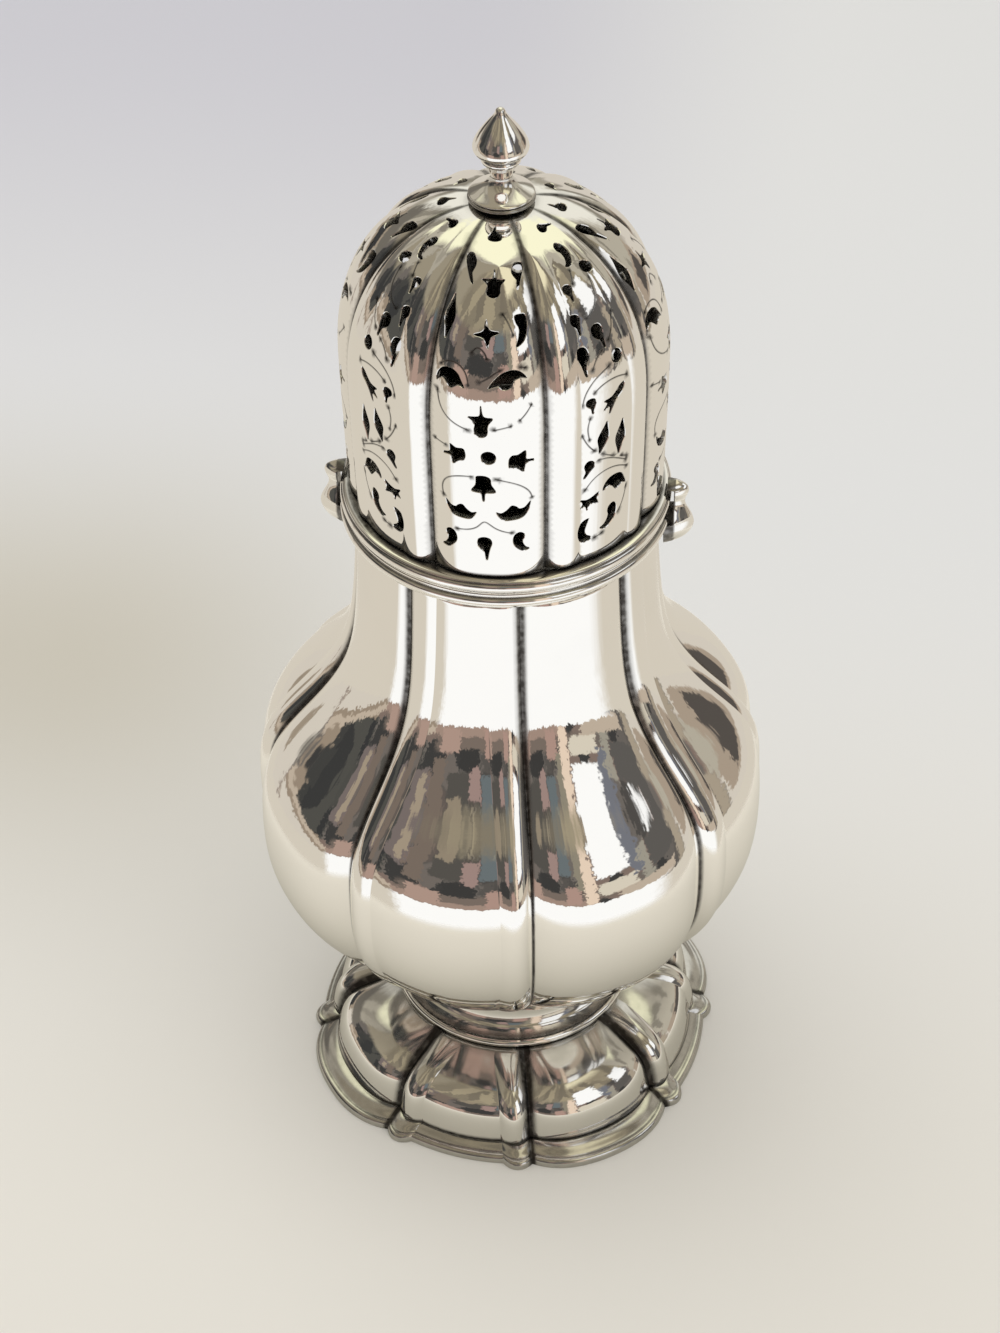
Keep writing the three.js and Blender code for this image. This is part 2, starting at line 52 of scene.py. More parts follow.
class Wire:
    """A shader value that arithmetic can be written with, and the tree that it belongs to."""

    def __init__(self, tree, socket=None):
        self.tree, self.socket = tree, socket

    def add(self, kind, settings, sockets, output=0):
        """Any other node: its type, its settings, then a value or a link for each socket that is given."""
        node = self.tree.nodes.new(kind)
        for name, value in settings.items():
            setattr(node, name, value)
        for name, value in sockets.items():
            if isinstance(value, Wire):
                self.tree.links.new(value.socket, node.inputs[name])
            else:
                node.inputs[name].default_value = value
        return Wire(self.tree, node.outputs[output])

    def maths(self, operation, *values):
        """A Math node on values or links, in their order."""
        return self.add("ShaderNodeMath", {"operation": operation}, dict(enumerate(values)))

    def __add__(self, other):
        return self.maths("ADD", self, other)

    __radd__ = __add__

    def __sub__(self, other):
        return self.maths("SUBTRACT", self, other)

    def __rsub__(self, other):
        return self.maths("SUBTRACT", other, self)

    def __mul__(self, other):
        return self.maths("MULTIPLY", self, other)

    __rmul__ = __mul__

    def __truediv__(self, other):
        return self.maths("DIVIDE", self, other)

    def __rtruediv__(self, other):
        return self.maths("DIVIDE", other, self)

    def step(self, low, high):
        """Rises smoothly from 0 to 1 as the value goes from low to high, and falls if low is the higher."""
        settings = {"interpolation_type": "SMOOTHSTEP"}
        return self.add("ShaderNodeMapRange", settings, {"Value": self, "From Min": low, "From Max": high})

    def band(self, low, high, soft):
        """1 between low and high, falling to 0 over soft on each side."""
        return self.step(low - soft, low + soft) * self.step(high + soft, high - soft)

    def blend(self, under, over):
        """The colour under where the value is 0 and the colour over where it is 1."""
        return self.add("ShaderNodeMix", {"data_type": "RGBA"}, {0: self, 6: under, 7: over}, 2)


def silver(name, rough, swell, dull):
    """Silver polished by hand, with fine scratches and a slight swell from the hammer.

    It is dark and rougher under a faint cloud and where the mesh's attribute for oxide and painted shade
    is high: oxide in the hollows that a cloth can't reach, and painted shade in grooves, crevices and joins.
    """
    material = bpy.data.materials.new(name)
    material.use_nodes = True
    tree = material.node_tree
    shader = tree.nodes["Principled BSDF"]
    start = Wire(tree)
    place = start.add("ShaderNodeTexCoord", {}, {}, "Object")
    cloud = start.add("ShaderNodeTexNoise", {}, {"Vector": place, "Scale": 55.0, "Detail": 4.0})
    speck = start.add("ShaderNodeTexNoise", {}, {"Vector": place, "Scale": 900.0, "Detail": 3.0})
    swells = start.add("ShaderNodeTexNoise", {}, {"Vector": place, "Scale": 42.0, "Detail": 1.0})
    scratch_way = start.add(
        "ShaderNodeMapping", {}, {"Vector": place, "Rotation": (0.3, 0.2, 0.5), "Scale": (260, 2600, 900)}
    )
    scratches = start.add("ShaderNodeTexNoise", {}, {"Vector": scratch_way, "Scale": 1.0, "Detail": 2.0})
    # Oxide together with painted shade, read from the mesh's attribute
    tarnish_and_shade = start.add("ShaderNodeAttribute", {"attribute_name": "tarnish_and_shade"}, {}, "Fac")
    dark = tarnish_and_shade * (0.7 + 0.6 * speck) + dull * cloud.step(0.5, 0.75)
    dark = start.maths("MINIMUM", dark, 1.0)
    links = tree.links
    links.new(dark.blend((0.97, 0.96, 0.93, 1), (0.062, 0.058, 0.054, 1)).socket, shader.inputs["Base Color"])
    links.new((rough + 0.3 * dark + 0.03 * cloud.step(0.5, 0.85)).socket, shader.inputs["Roughness"])
    shader.inputs["Metallic"].default_value = 1.0
    wave = start.add("ShaderNodeBump", {}, {"Strength": swell, "Distance": 0.0012, "Height": swells})
    fine = start.add(
        "ShaderNodeBump", {}, {"Strength": 0.05, "Distance": 0.00003, "Height": scratches, "Normal": wave}
    )
    links.new(fine.socket, shader.inputs["Normal"])
    return material


raised_silver = silver("raised_silver", 0.025, 0.08, 0.02)
cast_silver = silver("cast_silver", 0.05, 0.1, 0.04)


def spline(points, steps):
    """A uniform cubic B-spline along rows of numbers; mirrored end rows make it start and end on them."""
    rows = np.array(points, float)
    rows = np.vstack([2 * rows[0] - rows[1], rows, 2 * rows[-1] - rows[-2]])
    spans = len(rows) - 3
    at = np.linspace(0, spans, steps)
    i = np.minimum(at.astype(int), spans - 1)
    t = (at - i)[:, None]
    return (
        (1 - t) ** 3 * rows[i] + (3 * t ** 3 - 6 * t ** 2 + 4) * rows[i + 1]
        + (-3 * t ** 3 + 3 * t ** 2 + 3 * t + 1) * rows[i + 2] + t ** 3 * rows[i + 3]
    ) / 6


def piece(name, body, material, stands_for, points, faces, tarnish_and_shade=None, normals=None):
    """Makes a smooth-shaded mesh from whole arrays of points in millimetres and of faces."""
    mesh = bpy.data.meshes.new(name)
    mesh.from_pydata((np.asarray(points) * MM).tolist(), [], faces)
    mesh.shade_smooth()
    if tarnish_and_shade is not None:
        layer = mesh.attributes.new("tarnish_and_shade", "FLOAT", "POINT")
        layer.data.foreach_set("value", np.asarray(tarnish_and_shade, np.float32))
    if normals is not None:
        mesh.normals_split_custom_set(normals.tolist())
    mesh.materials.append(material)
    made = bpy.data.objects.new(name, mesh)
    bpy.context.scene.collection.objects.link(made)
    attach(made, body)
    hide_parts(*stands_for)
    return made


def skin(grid, closed_run):
    """The points and faces over a grid of rings. The run closes on itself or ends in a pole at each end."""
    rows, columns = grid.shape[:2]
    runs = rows if closed_run else rows - 1
    low = np.arange(runs)[:, None] * columns
    high = (np.arange(runs)[:, None] + 1) % rows * columns
    j = np.arange(columns)[None, :]
    k = (j + 1) % columns
    faces = np.stack([low + j, low + k, high + k, high + j], -1).reshape(-1, 4).tolist()
    points = grid.reshape(-1, 3)
    if not closed_run:
        points = np.vstack([points, grid[[0, -1]].mean(1)])
        j, k, top = np.arange(columns), (np.arange(columns) + 1) % columns, (rows - 1) * columns
        faces += np.stack([np.full(columns, rows * columns), k, j], -1).tolist()
        faces += np.stack([np.full(columns, rows * columns + 1), top + j, top + k], -1).tolist()
    return points, faces


def polar(radius, angle, height):
    """Points at x = r sin(angle), y = -r cos(angle) and a height, with the angle from the front."""
    return np.stack(np.broadcast_arrays(radius * np.sin(angle), -radius * np.cos(angle), height), -1)


ROUND = 192


def turned(profile, columns=ROUND):
    """Rings of points round the axis from a profile of radii and heights."""
    angle = np.arange(columns) * 2 * np.pi / columns
    r, z = np.asarray(profile, float).T
    return polar(r[:, None], angle, z[:, None])


# The plan of the foot, the body and the cover has four broad lobes and, between each two, a strap
# sector with a raised strip down each side, and a sharp groove is chased where a lobe meets a strip.
# A strip is as wide as STRIP, or as a share of half its sector where that is narrower.
STRIP, STRIP_MOST = 5.1, 0.62
BODY_HALF, BODY_TURN = QUARTER / 4, math.radians(34)


def eased(count):
    """Steps from 0 towards 1, its end left out, that crowd together at both ends."""
    t = np.arange(count) / count
    return t - 0.85 * np.sin(2 * np.pi * t) / (2 * np.pi)


def lobed(half, crest_share, edge_share, bump_share, crest, groove, height, turn, drop=0):
    """Rings of points with the lobed plan, and each point's distance from the nearest groove.

    A ring's radius is its crest less its groove depth times one less the plan's share. Over a
    lobe the share is 1 - |u|^3. Over a strap it is the edge's share plus a low arch, and down
    each strip it falls as 1 - s^4 with a bump added. Where the sheet lies flat, the grooves are
    sunk by the drop instead.
    """
    crest, groove, height = (np.asarray(a, float)[:, None] for a in (crest, groove, height))
    lobe_count, strip_count, strap_count = 40, 14, 20
    strap_half = QUARTER / 2 - half
    edge = strap_half - np.minimum(STRIP / np.maximum(crest, 1), STRIP_MOST * strap_half)
    u = 2 * eased(lobe_count) - 1
    s = eased(strip_count)
    v = 2 * eased(strap_count) - 1
    falling, rising = (edge_share * (1 - t ** 4) + bump_share * 4 * t * (1 - t) for t in (s, 1 - s))
    rows = np.ones_like(crest)
    angle = np.hstack([
        rows * (u * half), QUARTER / 2 - edge - (strap_half - edge) * (1 - s),
        QUARTER / 2 + v * edge, QUARTER / 2 + edge + (strap_half - edge) * s,
    ])
    arch = edge_share + (crest_share - edge_share) * (1 - v ** 2)
    share = np.concatenate([1 - np.abs(u) ** 3, rising, arch, falling])
    away = np.minimum.reduce([
        np.abs(angle - half), np.abs(angle + half), np.abs(angle - QUARTER + half),
        np.abs(angle - QUARTER - half),
    ])
    angle = np.hstack([angle + i * QUARTER for i in range(4)]) + turn
    sunk = 1 - np.tile(share, 4)
    radius = crest - groove * sunk
    level = height - np.reshape(drop, (-1, 1)) * sunk
    return polar(radius, angle, level), np.tile(away, 4) * crest


def soft_step(value, low, high):
    """0 up to low, 1 from high, and 3 t^2 - 2 t^3 between them."""
    t = np.clip((value - low) / (high - low), 0, 1)
    return t * t * (3 - 2 * t)


FLANGE_RADIUS, FLANGE_HEIGHT, FLANGE_WIDTH, FLANGE_GROOVE = 34.9, 2.6, 6.0, 2.3
flange_profile = spline([
    [0.01, 0], [0, 0.1], [0, 0.3], [0.03, 0.46], [0.09, 0.55], [0.15, 0.56], [0.2, 0.59], [0.27, 0.66],
    [0.36, 0.79], [0.46, 0.89], [0.58, 0.97], [0.72, 1], [0.9, 1], [1, 1],
], 64)
flange_profile = np.vstack([flange_profile, [[1, 0.5], [1, 0], [0.5, 0]]])
flange_crest = FLANGE_RADIUS - flange_profile[:, 0] * FLANGE_WIDTH
grid, away = lobed(
    BODY_HALF, -0.13, -0.1, 0.6, flange_crest, np.full(len(flange_crest), FLANGE_GROOVE),
    flange_profile[:, 1] * FLANGE_HEIGHT, BODY_TURN,
)
inset = np.repeat(flange_profile[:, :1], away.shape[1], 1)
# Painted shade in the hollow by the outer bead and where the edge meets the dome, painted shade with oxide
# down each groove, and a lighter painted shade over the whole edge.
tarnish_and_shade = 0.75 * soft_step(inset, 0.6, 0.78) + 0.4 * (1 - soft_step(np.abs(inset - 0.16), 0, 0.05))
tarnish_and_shade += 0.8 * (1 - soft_step(away, 0.15, 0.9)) + 0.32
points, faces = skin(grid, True)
piece("foot_edge", "base", cast_silver, ["foot_flange"], points, faces,
      np.clip(tarnish_and_shade, 0, 1).ravel())

DOME_BASE, DOME_HEIGHT, DOME_RADIUS, WIRE_SEAT = 2.9, 10.4, 31.0, 18.9
DOME_GROOVE, DOME_SHEET = 2.2, 0.9
dome_profile = spline([
    [0, 1, 0.8, 0], [0.16, 0.99, 0.9, 0], [0.32, 0.97, 1, 0], [0.48, 0.93, 1, 0.05], [0.64, 0.845, 0.9, 0.3],
    [0.78, 0.71, 0.65, 0.6], [0.89, 0.52, 0.4, 0.75], [0.965, 0.27, 0.2, 0.6], [1, 0, 0.1, 0.15],
], 90)


def foot_dome_rings(depth):
    """The foot dome's lobed rings, moved in and down by a depth of sheet."""
    up, out, groove, drop = dome_profile.T
    return lobed(
        BODY_HALF, 0.5, 0.42, 0.4, WIRE_SEAT + out * (DOME_RADIUS - WIRE_SEAT) - depth,
        groove * DOME_GROOVE, DOME_BASE + up * (DOME_HEIGHT - depth), BODY_TURN, drop * DOME_GROOVE,
    )


grid, away = foot_dome_rings(0)
under, _ = foot_dome_rings(DOME_SHEET)
up = np.repeat(dome_profile[:, :1], away.shape[1], 1)
# Painted shade with oxide down the grooves, painted shade at the foot where the dome meets the edge, over its
# upper part and under the wire, and over the inside.
tarnish_and_shade = 1 - soft_step(away, 0.3, 1.5)
tarnish_and_shade += 0.9 * (1 - soft_step(up, 0.01, 0.07))
tarnish_and_shade += 0.25 * soft_step(up, 0.7, 0.9) + 0.3 * soft_step(up, 0.97, 1)
tarnish_and_shade = np.vstack([np.clip(tarnish_and_shade, 0, 1), np.full_like(tarnish_and_shade, 0.5)])
points, faces = skin(np.vstack([grid, under[::-1]]), True)
piece("foot_shell", "base", raised_silver, ["foot_dome"], points, faces, tarnish_and_shade.ravel())

WIRE_SIDES, WIRE_LEVEL, WIRE_WIDE, WIRE_TALL = 28, 14.3, 0.66, 0.68
bend = np.arange(WIRE_SIDES) * 2 * np.pi / WIRE_SIDES
wire = np.stack([WIRE_SEAT + WIRE_WIDE * np.cos(bend), WIRE_LEVEL + WIRE_TALL * np.sin(bend)], -1)
points, faces = skin(turned(wire), True)
piece("foot_wire", "base", cast_silver, ["foot_ring"], points, faces)

NECK_LOW, NECK_HIGH, NECK_SHEET = 15.3, 19.9, 0.9
neck = spline([
    [18.9, NECK_LOW], [18.3, 15.4], [17.4, 15.65], [16.7, 16.2], [16.25, 17.0], [15.98, 18.0], [15.88, 18.98],
    [15.9, 19.5], [15.99, NECK_HIGH],
], 40)
neck_inner = neck[::-1] - [NECK_SHEET, 0]
points, faces = skin(turned(np.vstack([neck, neck_inner])), True)
height = points[:, 2]
# Painted shade by the wire at its foot and under the body at its top, over a faint shade on the whole.
tarnish_and_shade = 0.7 * (1 - soft_step(height, NECK_LOW, NECK_LOW + 0.4)) + 0.12
tarnish_and_shade += 0.75 * soft_step(height, NECK_HIGH - 0.5, NECK_HIGH)
piece("foot_collar", "base", raised_silver, ["foot_neck"], points, faces, tarnish_and_shade)


# Body: raised from one sheet to a low belly and a long neck, and lobed by chasing from inside.
# It is closed at the bottom and open at the mouth, and its grooves are darkened with oxide and painted
# shade, most up the neck.

BASE_RADIUS, BELLY, MOUTH, BODY_LOW, BODY_HEIGHT = 15.5, 40.2, 22.3, 20.2, 91.2
BODY_GROOVE, BODY_SHEET = 2.9, 0.9
lower = np.array([
    [0, 0, 0.1], [0.02, 0.06, 0.2], [0.052, 0.186, 0.32], [0.107, 0.43, 0.52], [0.171, 0.663, 0.72],
    [0.23, 0.837, 0.85], [0.302, 0.967, 0.96], [0.37, 1, 1],
])
upper = np.array([
    [0.432, 0.997, 1], [0.48, 0.982, 0.97], [0.525, 0.922, 0.9], [0.575, 0.75, 0.8], [0.63, 0.48, 0.7],
    [0.7, 0.212, 0.59], [0.79, 0.062, 0.54], [1, 0, 0.46],
])
lower[:, 1] = BASE_RADIUS + lower[:, 1] * (BELLY - BASE_RADIUS)
upper[:, 1] = MOUTH + upper[:, 1] * (BELLY - MOUTH)
body_profile = spline(np.vstack([lower, upper]), 180)


def body_rings(depth, rows):
    """The body's lobed rings for rows of height, crest and groove, moved in by a depth of sheet."""
    up, crest, groove = rows.T
    height = np.maximum(BODY_LOW + up * BODY_HEIGHT, BODY_LOW + depth)
    return lobed(BODY_HALF, 0.78, 0.55, 0.15, crest - depth, groove * BODY_GROOVE, height, BODY_TURN)


grid, away = body_rings(0, body_profile)
hollow, _ = body_rings(BODY_SHEET, body_profile[2::3][::-1])
up = np.repeat(body_profile[:, :1], away.shape[1], 1)
# Painted shade with oxide down the grooves, reaching wider up the neck, and painted shade at the bottom and
# over the inside.
reach = 0.35 + 0.75 * soft_step(up, 0.45, 0.75)
tarnish_and_shade = 0.95 * (1 - soft_step(away, 0.3 * reach, reach))
tarnish_and_shade = np.maximum(tarnish_and_shade, 0.8 * (1 - soft_step(up, 0.0, 0.02)))
tarnish_and_shade = np.concatenate([tarnish_and_shade.ravel(), np.full(hollow.shape[0] * hollow.shape[1], 0.35), [0.5, 0.35]])
points, faces = skin(np.vstack([grid, hollow]), False)
piece("vessel", "base", raised_silver, ["body"], points, faces, tarnish_and_shade)


# Rims: mouldings drawn from thick wire and soldered on, one to the body's mouth and one to the
# cover's edge, and a plain sleeve inside the cover's that centres it. The body's has two notches
# for the lugs.

RIM, LUG_HALF, NOTCH_FLOOR = 24.0, 3.7, 22.6
MOUTH_LOW, MOUTH_CREVICE, MOUTH_HIGH, MOUTH_WIDTH = 111.7, 113.55, 114.2, 4.1
EDGE_LOW, EDGE_CREVICE, EDGE_HIGH, EDGE_WIDTH, EDGE_SEAM = 114.5, 115.98, 116.5, 4.2, 22.4
SLEEVE_LOW, SLEEVE_OUT, SLEEVE_IN = 109.5, 19.5, 18.8


def rim_profile(outer, inset, low, high):
    """A moulding's section: a spline over its outer face, then straight lines down its inside."""
    return np.vstack([spline(outer, 48), [[RIM - inset, high], [RIM - inset, low]]])


body_rim = rim_profile([
    [23.3, MOUTH_LOW], [23.36, 111.75], [23.7, 112.0], [23.92, 112.45], [24.0, 112.95], [23.82, 113.35],
    [23.52, 113.5], [23.4, 113.62], [23.47, 113.9], [23.4, 114.12], [23.2, MOUTH_HIGH],
], MOUTH_WIDTH, MOUTH_LOW, MOUTH_HIGH)

# Two notches: their sides stand nearly square, as the steps to the plain rim are very short
edge = math.asin(LUG_HALF / RIM)
notch = QUARTER + np.linspace(-edge, edge, 17)
notch = np.concatenate([[notch[0] - 1e-3], notch, [notch[-1] + 1e-3]])
plain = np.linspace(QUARTER + edge + 0.02, 3 * QUARTER - edge - 0.02, 72)
angle = np.concatenate([notch, plain, notch + 2 * QUARTER, plain + 2 * QUARTER])
r, z = body_rim.T
grid_r = np.repeat(r[:, None], len(angle), 1)
in_notch = np.abs(np.cos(angle)) * RIM <= LUG_HALF * 1.0001
notch_floor = NOTCH_FLOOR / np.abs(np.sin(np.where(in_notch, angle, QUARTER)))
grid_r = np.where(in_notch, np.minimum(grid_r, notch_floor), grid_r)
# Painted shade in the crevice between the beads and along the low edge where the rim meets the neck.
tarnish_and_shade = 0.75 * (1 - soft_step(np.abs(z - MOUTH_CREVICE), 0.05, 0.25))
tarnish_and_shade += 0.6 * (1 - soft_step(z, MOUTH_LOW, MOUTH_LOW + 0.25))
points, faces = skin(polar(grid_r, angle, z[:, None]), True)
piece("mouth_rim", "base", cast_silver, ["body_rim"], points, faces,
      np.repeat(np.clip(tarnish_and_shade, 0, 1), len(angle)))

cover_rim = rim_profile([
    [23.5, EDGE_LOW], [23.6, 114.55], [23.86, 114.85], [23.92, 115.3], [23.8, 115.75], [23.56, 115.92],
    [23.5, 116.05], [23.45, 116.25], [23.1, 116.4], [22.8, 116.46], [EDGE_SEAM, EDGE_HIGH],
], EDGE_WIDTH, EDGE_LOW, EDGE_HIGH)
points, faces = skin(turned(cover_rim), True)
# Painted shade in the crevice and along the seam where the dome's wall stands on the rim.
tarnish_and_shade = 0.75 * (1 - soft_step(np.abs(cover_rim[:, 1] - EDGE_CREVICE), 0.04, 0.2))
tarnish_and_shade = np.maximum(tarnish_and_shade, 0.85 * (1 - soft_step(np.abs(cover_rim[:, 0] - EDGE_SEAM), 0.2, 0.75)))
piece("cover_edge", "cover", cast_silver, ["cover_rim"], points, faces,
      np.repeat(tarnish_and_shade, ROUND))

inner_silver = silver("inner_silver", 0.3, 0.1, 0.3)
sleeve = np.array([
    [SLEEVE_OUT, SLEEVE_LOW + 0.1], [SLEEVE_OUT, 113], [SLEEVE_OUT, EDGE_HIGH], [SLEEVE_IN, EDGE_HIGH],
    [SLEEVE_IN, 113], [SLEEVE_IN, SLEEVE_LOW], [SLEEVE_OUT - 0.1, SLEEVE_LOW],
])
points, faces = skin(turned(sleeve), True)
piece("cover_sleeve", "cover", inner_silver, ["cover_bezel"], points, faces)


# Finial: a turned bud on a waisted stem and a saucer, screwed down through a thin plate by a
# stud, a washer and a nut inside the cover.

STUD_BORE, BUD_ROUND = 1.3, 96
bud = spline([
    [4.35, 164.35], [4.5, 164.4], [4.5, 164.55], [4.2, 164.72], [3.6, 165.03], [2.95, 165.38], [2.3, 165.77],
    [1.75, 166.25], [1.5, 166.8], [1.52, 167.4], [1.72, 168.1], [2.12, 168.75], [2.55, 169.2], [2.72, 169.45],
    [2.72, 169.8], [2.5, 170.05], [2.5, 170.2], [2.9, 170.38], [3.5, 170.7], [3.78, 171.2], [3.76, 171.8],
    [3.4, 172.7], [2.85, 173.6], [2.2, 174.5], [1.55, 175.3], [1.02, 175.95], [0.75, 176.4], [0.68, 176.75],
    [0.45, 177.05], [0.2, 177.18], [0.02, 177.2],
], 150)
bud = np.vstack([[[STUD_BORE, 168.8], [STUD_BORE, 164.5]], bud])
points, faces = skin(turned(bud, BUD_ROUND), False)
height = bud[:, 1]
# Painted shade in the crevice under the ring and round the waist.
tarnish_and_shade = 0.8 * (1 - soft_step(np.abs(height - 170.15), 0.05, 0.3))
tarnish_and_shade += 0.3 * (1 - soft_step(np.abs(height - 166.6), 0.2, 1))
tarnish_and_shade = np.concatenate([np.repeat(tarnish_and_shade, BUD_ROUND), [0.5, 0]])
piece("bud", "finial_assembly", cast_silver, ["finial"], points, faces, tarnish_and_shade)

plate = [
    [STUD_BORE, 163.7], [4.45, 163.7], [4.58, 163.78], [4.6, 163.9], [4.52, 164.04], [4.3, 164.14],
    [4.0, 164.2], [STUD_BORE, 164.2],
]
points, faces = skin(turned(plate, BUD_ROUND), True)
# The plate is dark all over as painted shadow under the saucer.
piece("bud_plate", "finial_assembly", cast_silver, ["finial_plate"], points, faces,
      np.full(len(points), 0.55))

for node in ("finial_stud", "finial_washer", "finial_nut"):
    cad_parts[node].data.materials.clear()
    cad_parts[node].data.materials.append(inner_silver)


# Cover: one sheet raised to a tall dome, lobed in line with its lugs, then pierced with a saw and
# engraved round the openings. Its low edge is soldered to the moulded rim.

pierced_silver = silver("pierced_silver", 0.03, 0.05, 0.02)
COVER_LOW, COVER_WALL, COVER_DOME, COVER_RADIUS = 116.8, 22.2, 24.4, 23.0
COVER_GROOVE, COVER_SHEET, COVER_BORE, FULLNESS = 1.3, 0.8, 1.4, 2.35
LOBE_HALF = math.radians(21.2)
EDGE_BEVEL, BEVEL_DEPTH = 0.07, 0.12
LOW_SIDES, CREST_ROWS, TOP_SIDES = 32, 112, 4


def cover_crest(depth):
    """The crest's radius and height: a wall, then a superellipse r = R cos^(2/n), z = H sin^(2/n)."""
    wall_steps, dome_steps = 200, 600
    last = math.acos((COVER_BORE / COVER_RADIUS) ** (FULLNESS / 2))
    turn = np.concatenate([np.zeros(wall_steps), last * np.linspace(0, 1, dome_steps) ** 1.25])
    power = 2 / FULLNESS
    r = (COVER_RADIUS - depth) * np.cos(turn) ** power
    z = COVER_LOW + COVER_WALL + (COVER_DOME - depth) * np.sin(turn) ** power
    wall = np.linspace(0, 1, wall_steps, endpoint=False)
    r[:wall_steps] = (COVER_RADIUS - depth) * (0.983 + 0.017 * (1 - (1 - wall) ** 1.6))
    z[:wall_steps] = COVER_LOW + wall * COVER_WALL
    fade = np.minimum(1, np.cos(turn) / 0.5) ** 2
    return r, z, COVER_GROOVE * fade


crest_r, crest_z, crest_groove = cover_crest(0)
inside_r, inside_z, _ = cover_crest(COVER_SHEET)
crest_length = np.concatenate([[0], np.cumsum(np.hypot(np.diff(crest_r), np.diff(crest_z)))])
CREST = crest_length[-1]


def crest_radius(y):
    """The crest's radius at a length up the sheet."""
    return np.interp(y, crest_length, crest_r)


def strap_crease(y, half):
    """How far from a strap's middle its strips begin."""
    reach = half * crest_radius(y)
    return reach - np.minimum(STRIP, STRIP_MOST * reach)


def cover_place(angle, y, depth, half, strap):
    """Points of a sector about the front, at a share of the depth of the sheet.

    The radius is the crest's less the groove's depth times one less the plan's share. Over a lobe
    the share is 1 - |u|^3. Over a strap it is a low arch, and down each strip 1 - s^3 with a bump.
    """
    r = np.interp(y, crest_length, crest_r)
    if strap:
        edge = strap_crease(y, half) / r
        b = np.abs(angle)
        s = np.maximum((b - edge) / (half - edge), 0)
        strip = 0.5 * (1 - s ** 3) + 0.34 * 4 * s * (1 - s)
        share = np.where(b < edge, 0.5 + 0.12 * (1 - (b / edge) ** 2), strip)
    else:
        share = 1 - np.abs(angle / half) ** 3
    low = np.interp(y, crest_length, crest_groove) * (1 - share)
    outer = r - low
    inner = np.interp(y, crest_length, inside_r) - low
    radius = outer + (inner - outer) * depth
    over = np.interp(y, crest_length, crest_z)
    height = over + (np.interp(y, crest_length, inside_z) - over) * depth
    return polar(radius, angle, height)


def cover_normal(angle, y, half, strap):
    """Outward normals from the differences of nearby points round the sheet and up it."""
    step = 0.12 / crest_radius(y)
    round_it = cover_place(angle + step, y, 0, half, strap) - cover_place(angle - step, y, 0, half, strap)
    up_it = cover_place(angle, y + 0.35, 0, half, strap) - cover_place(angle, y - 0.35, 0, half, strap)
    normal = np.cross(round_it, up_it)
    return normal / np.linalg.norm(normal, axis=1)[:, None]


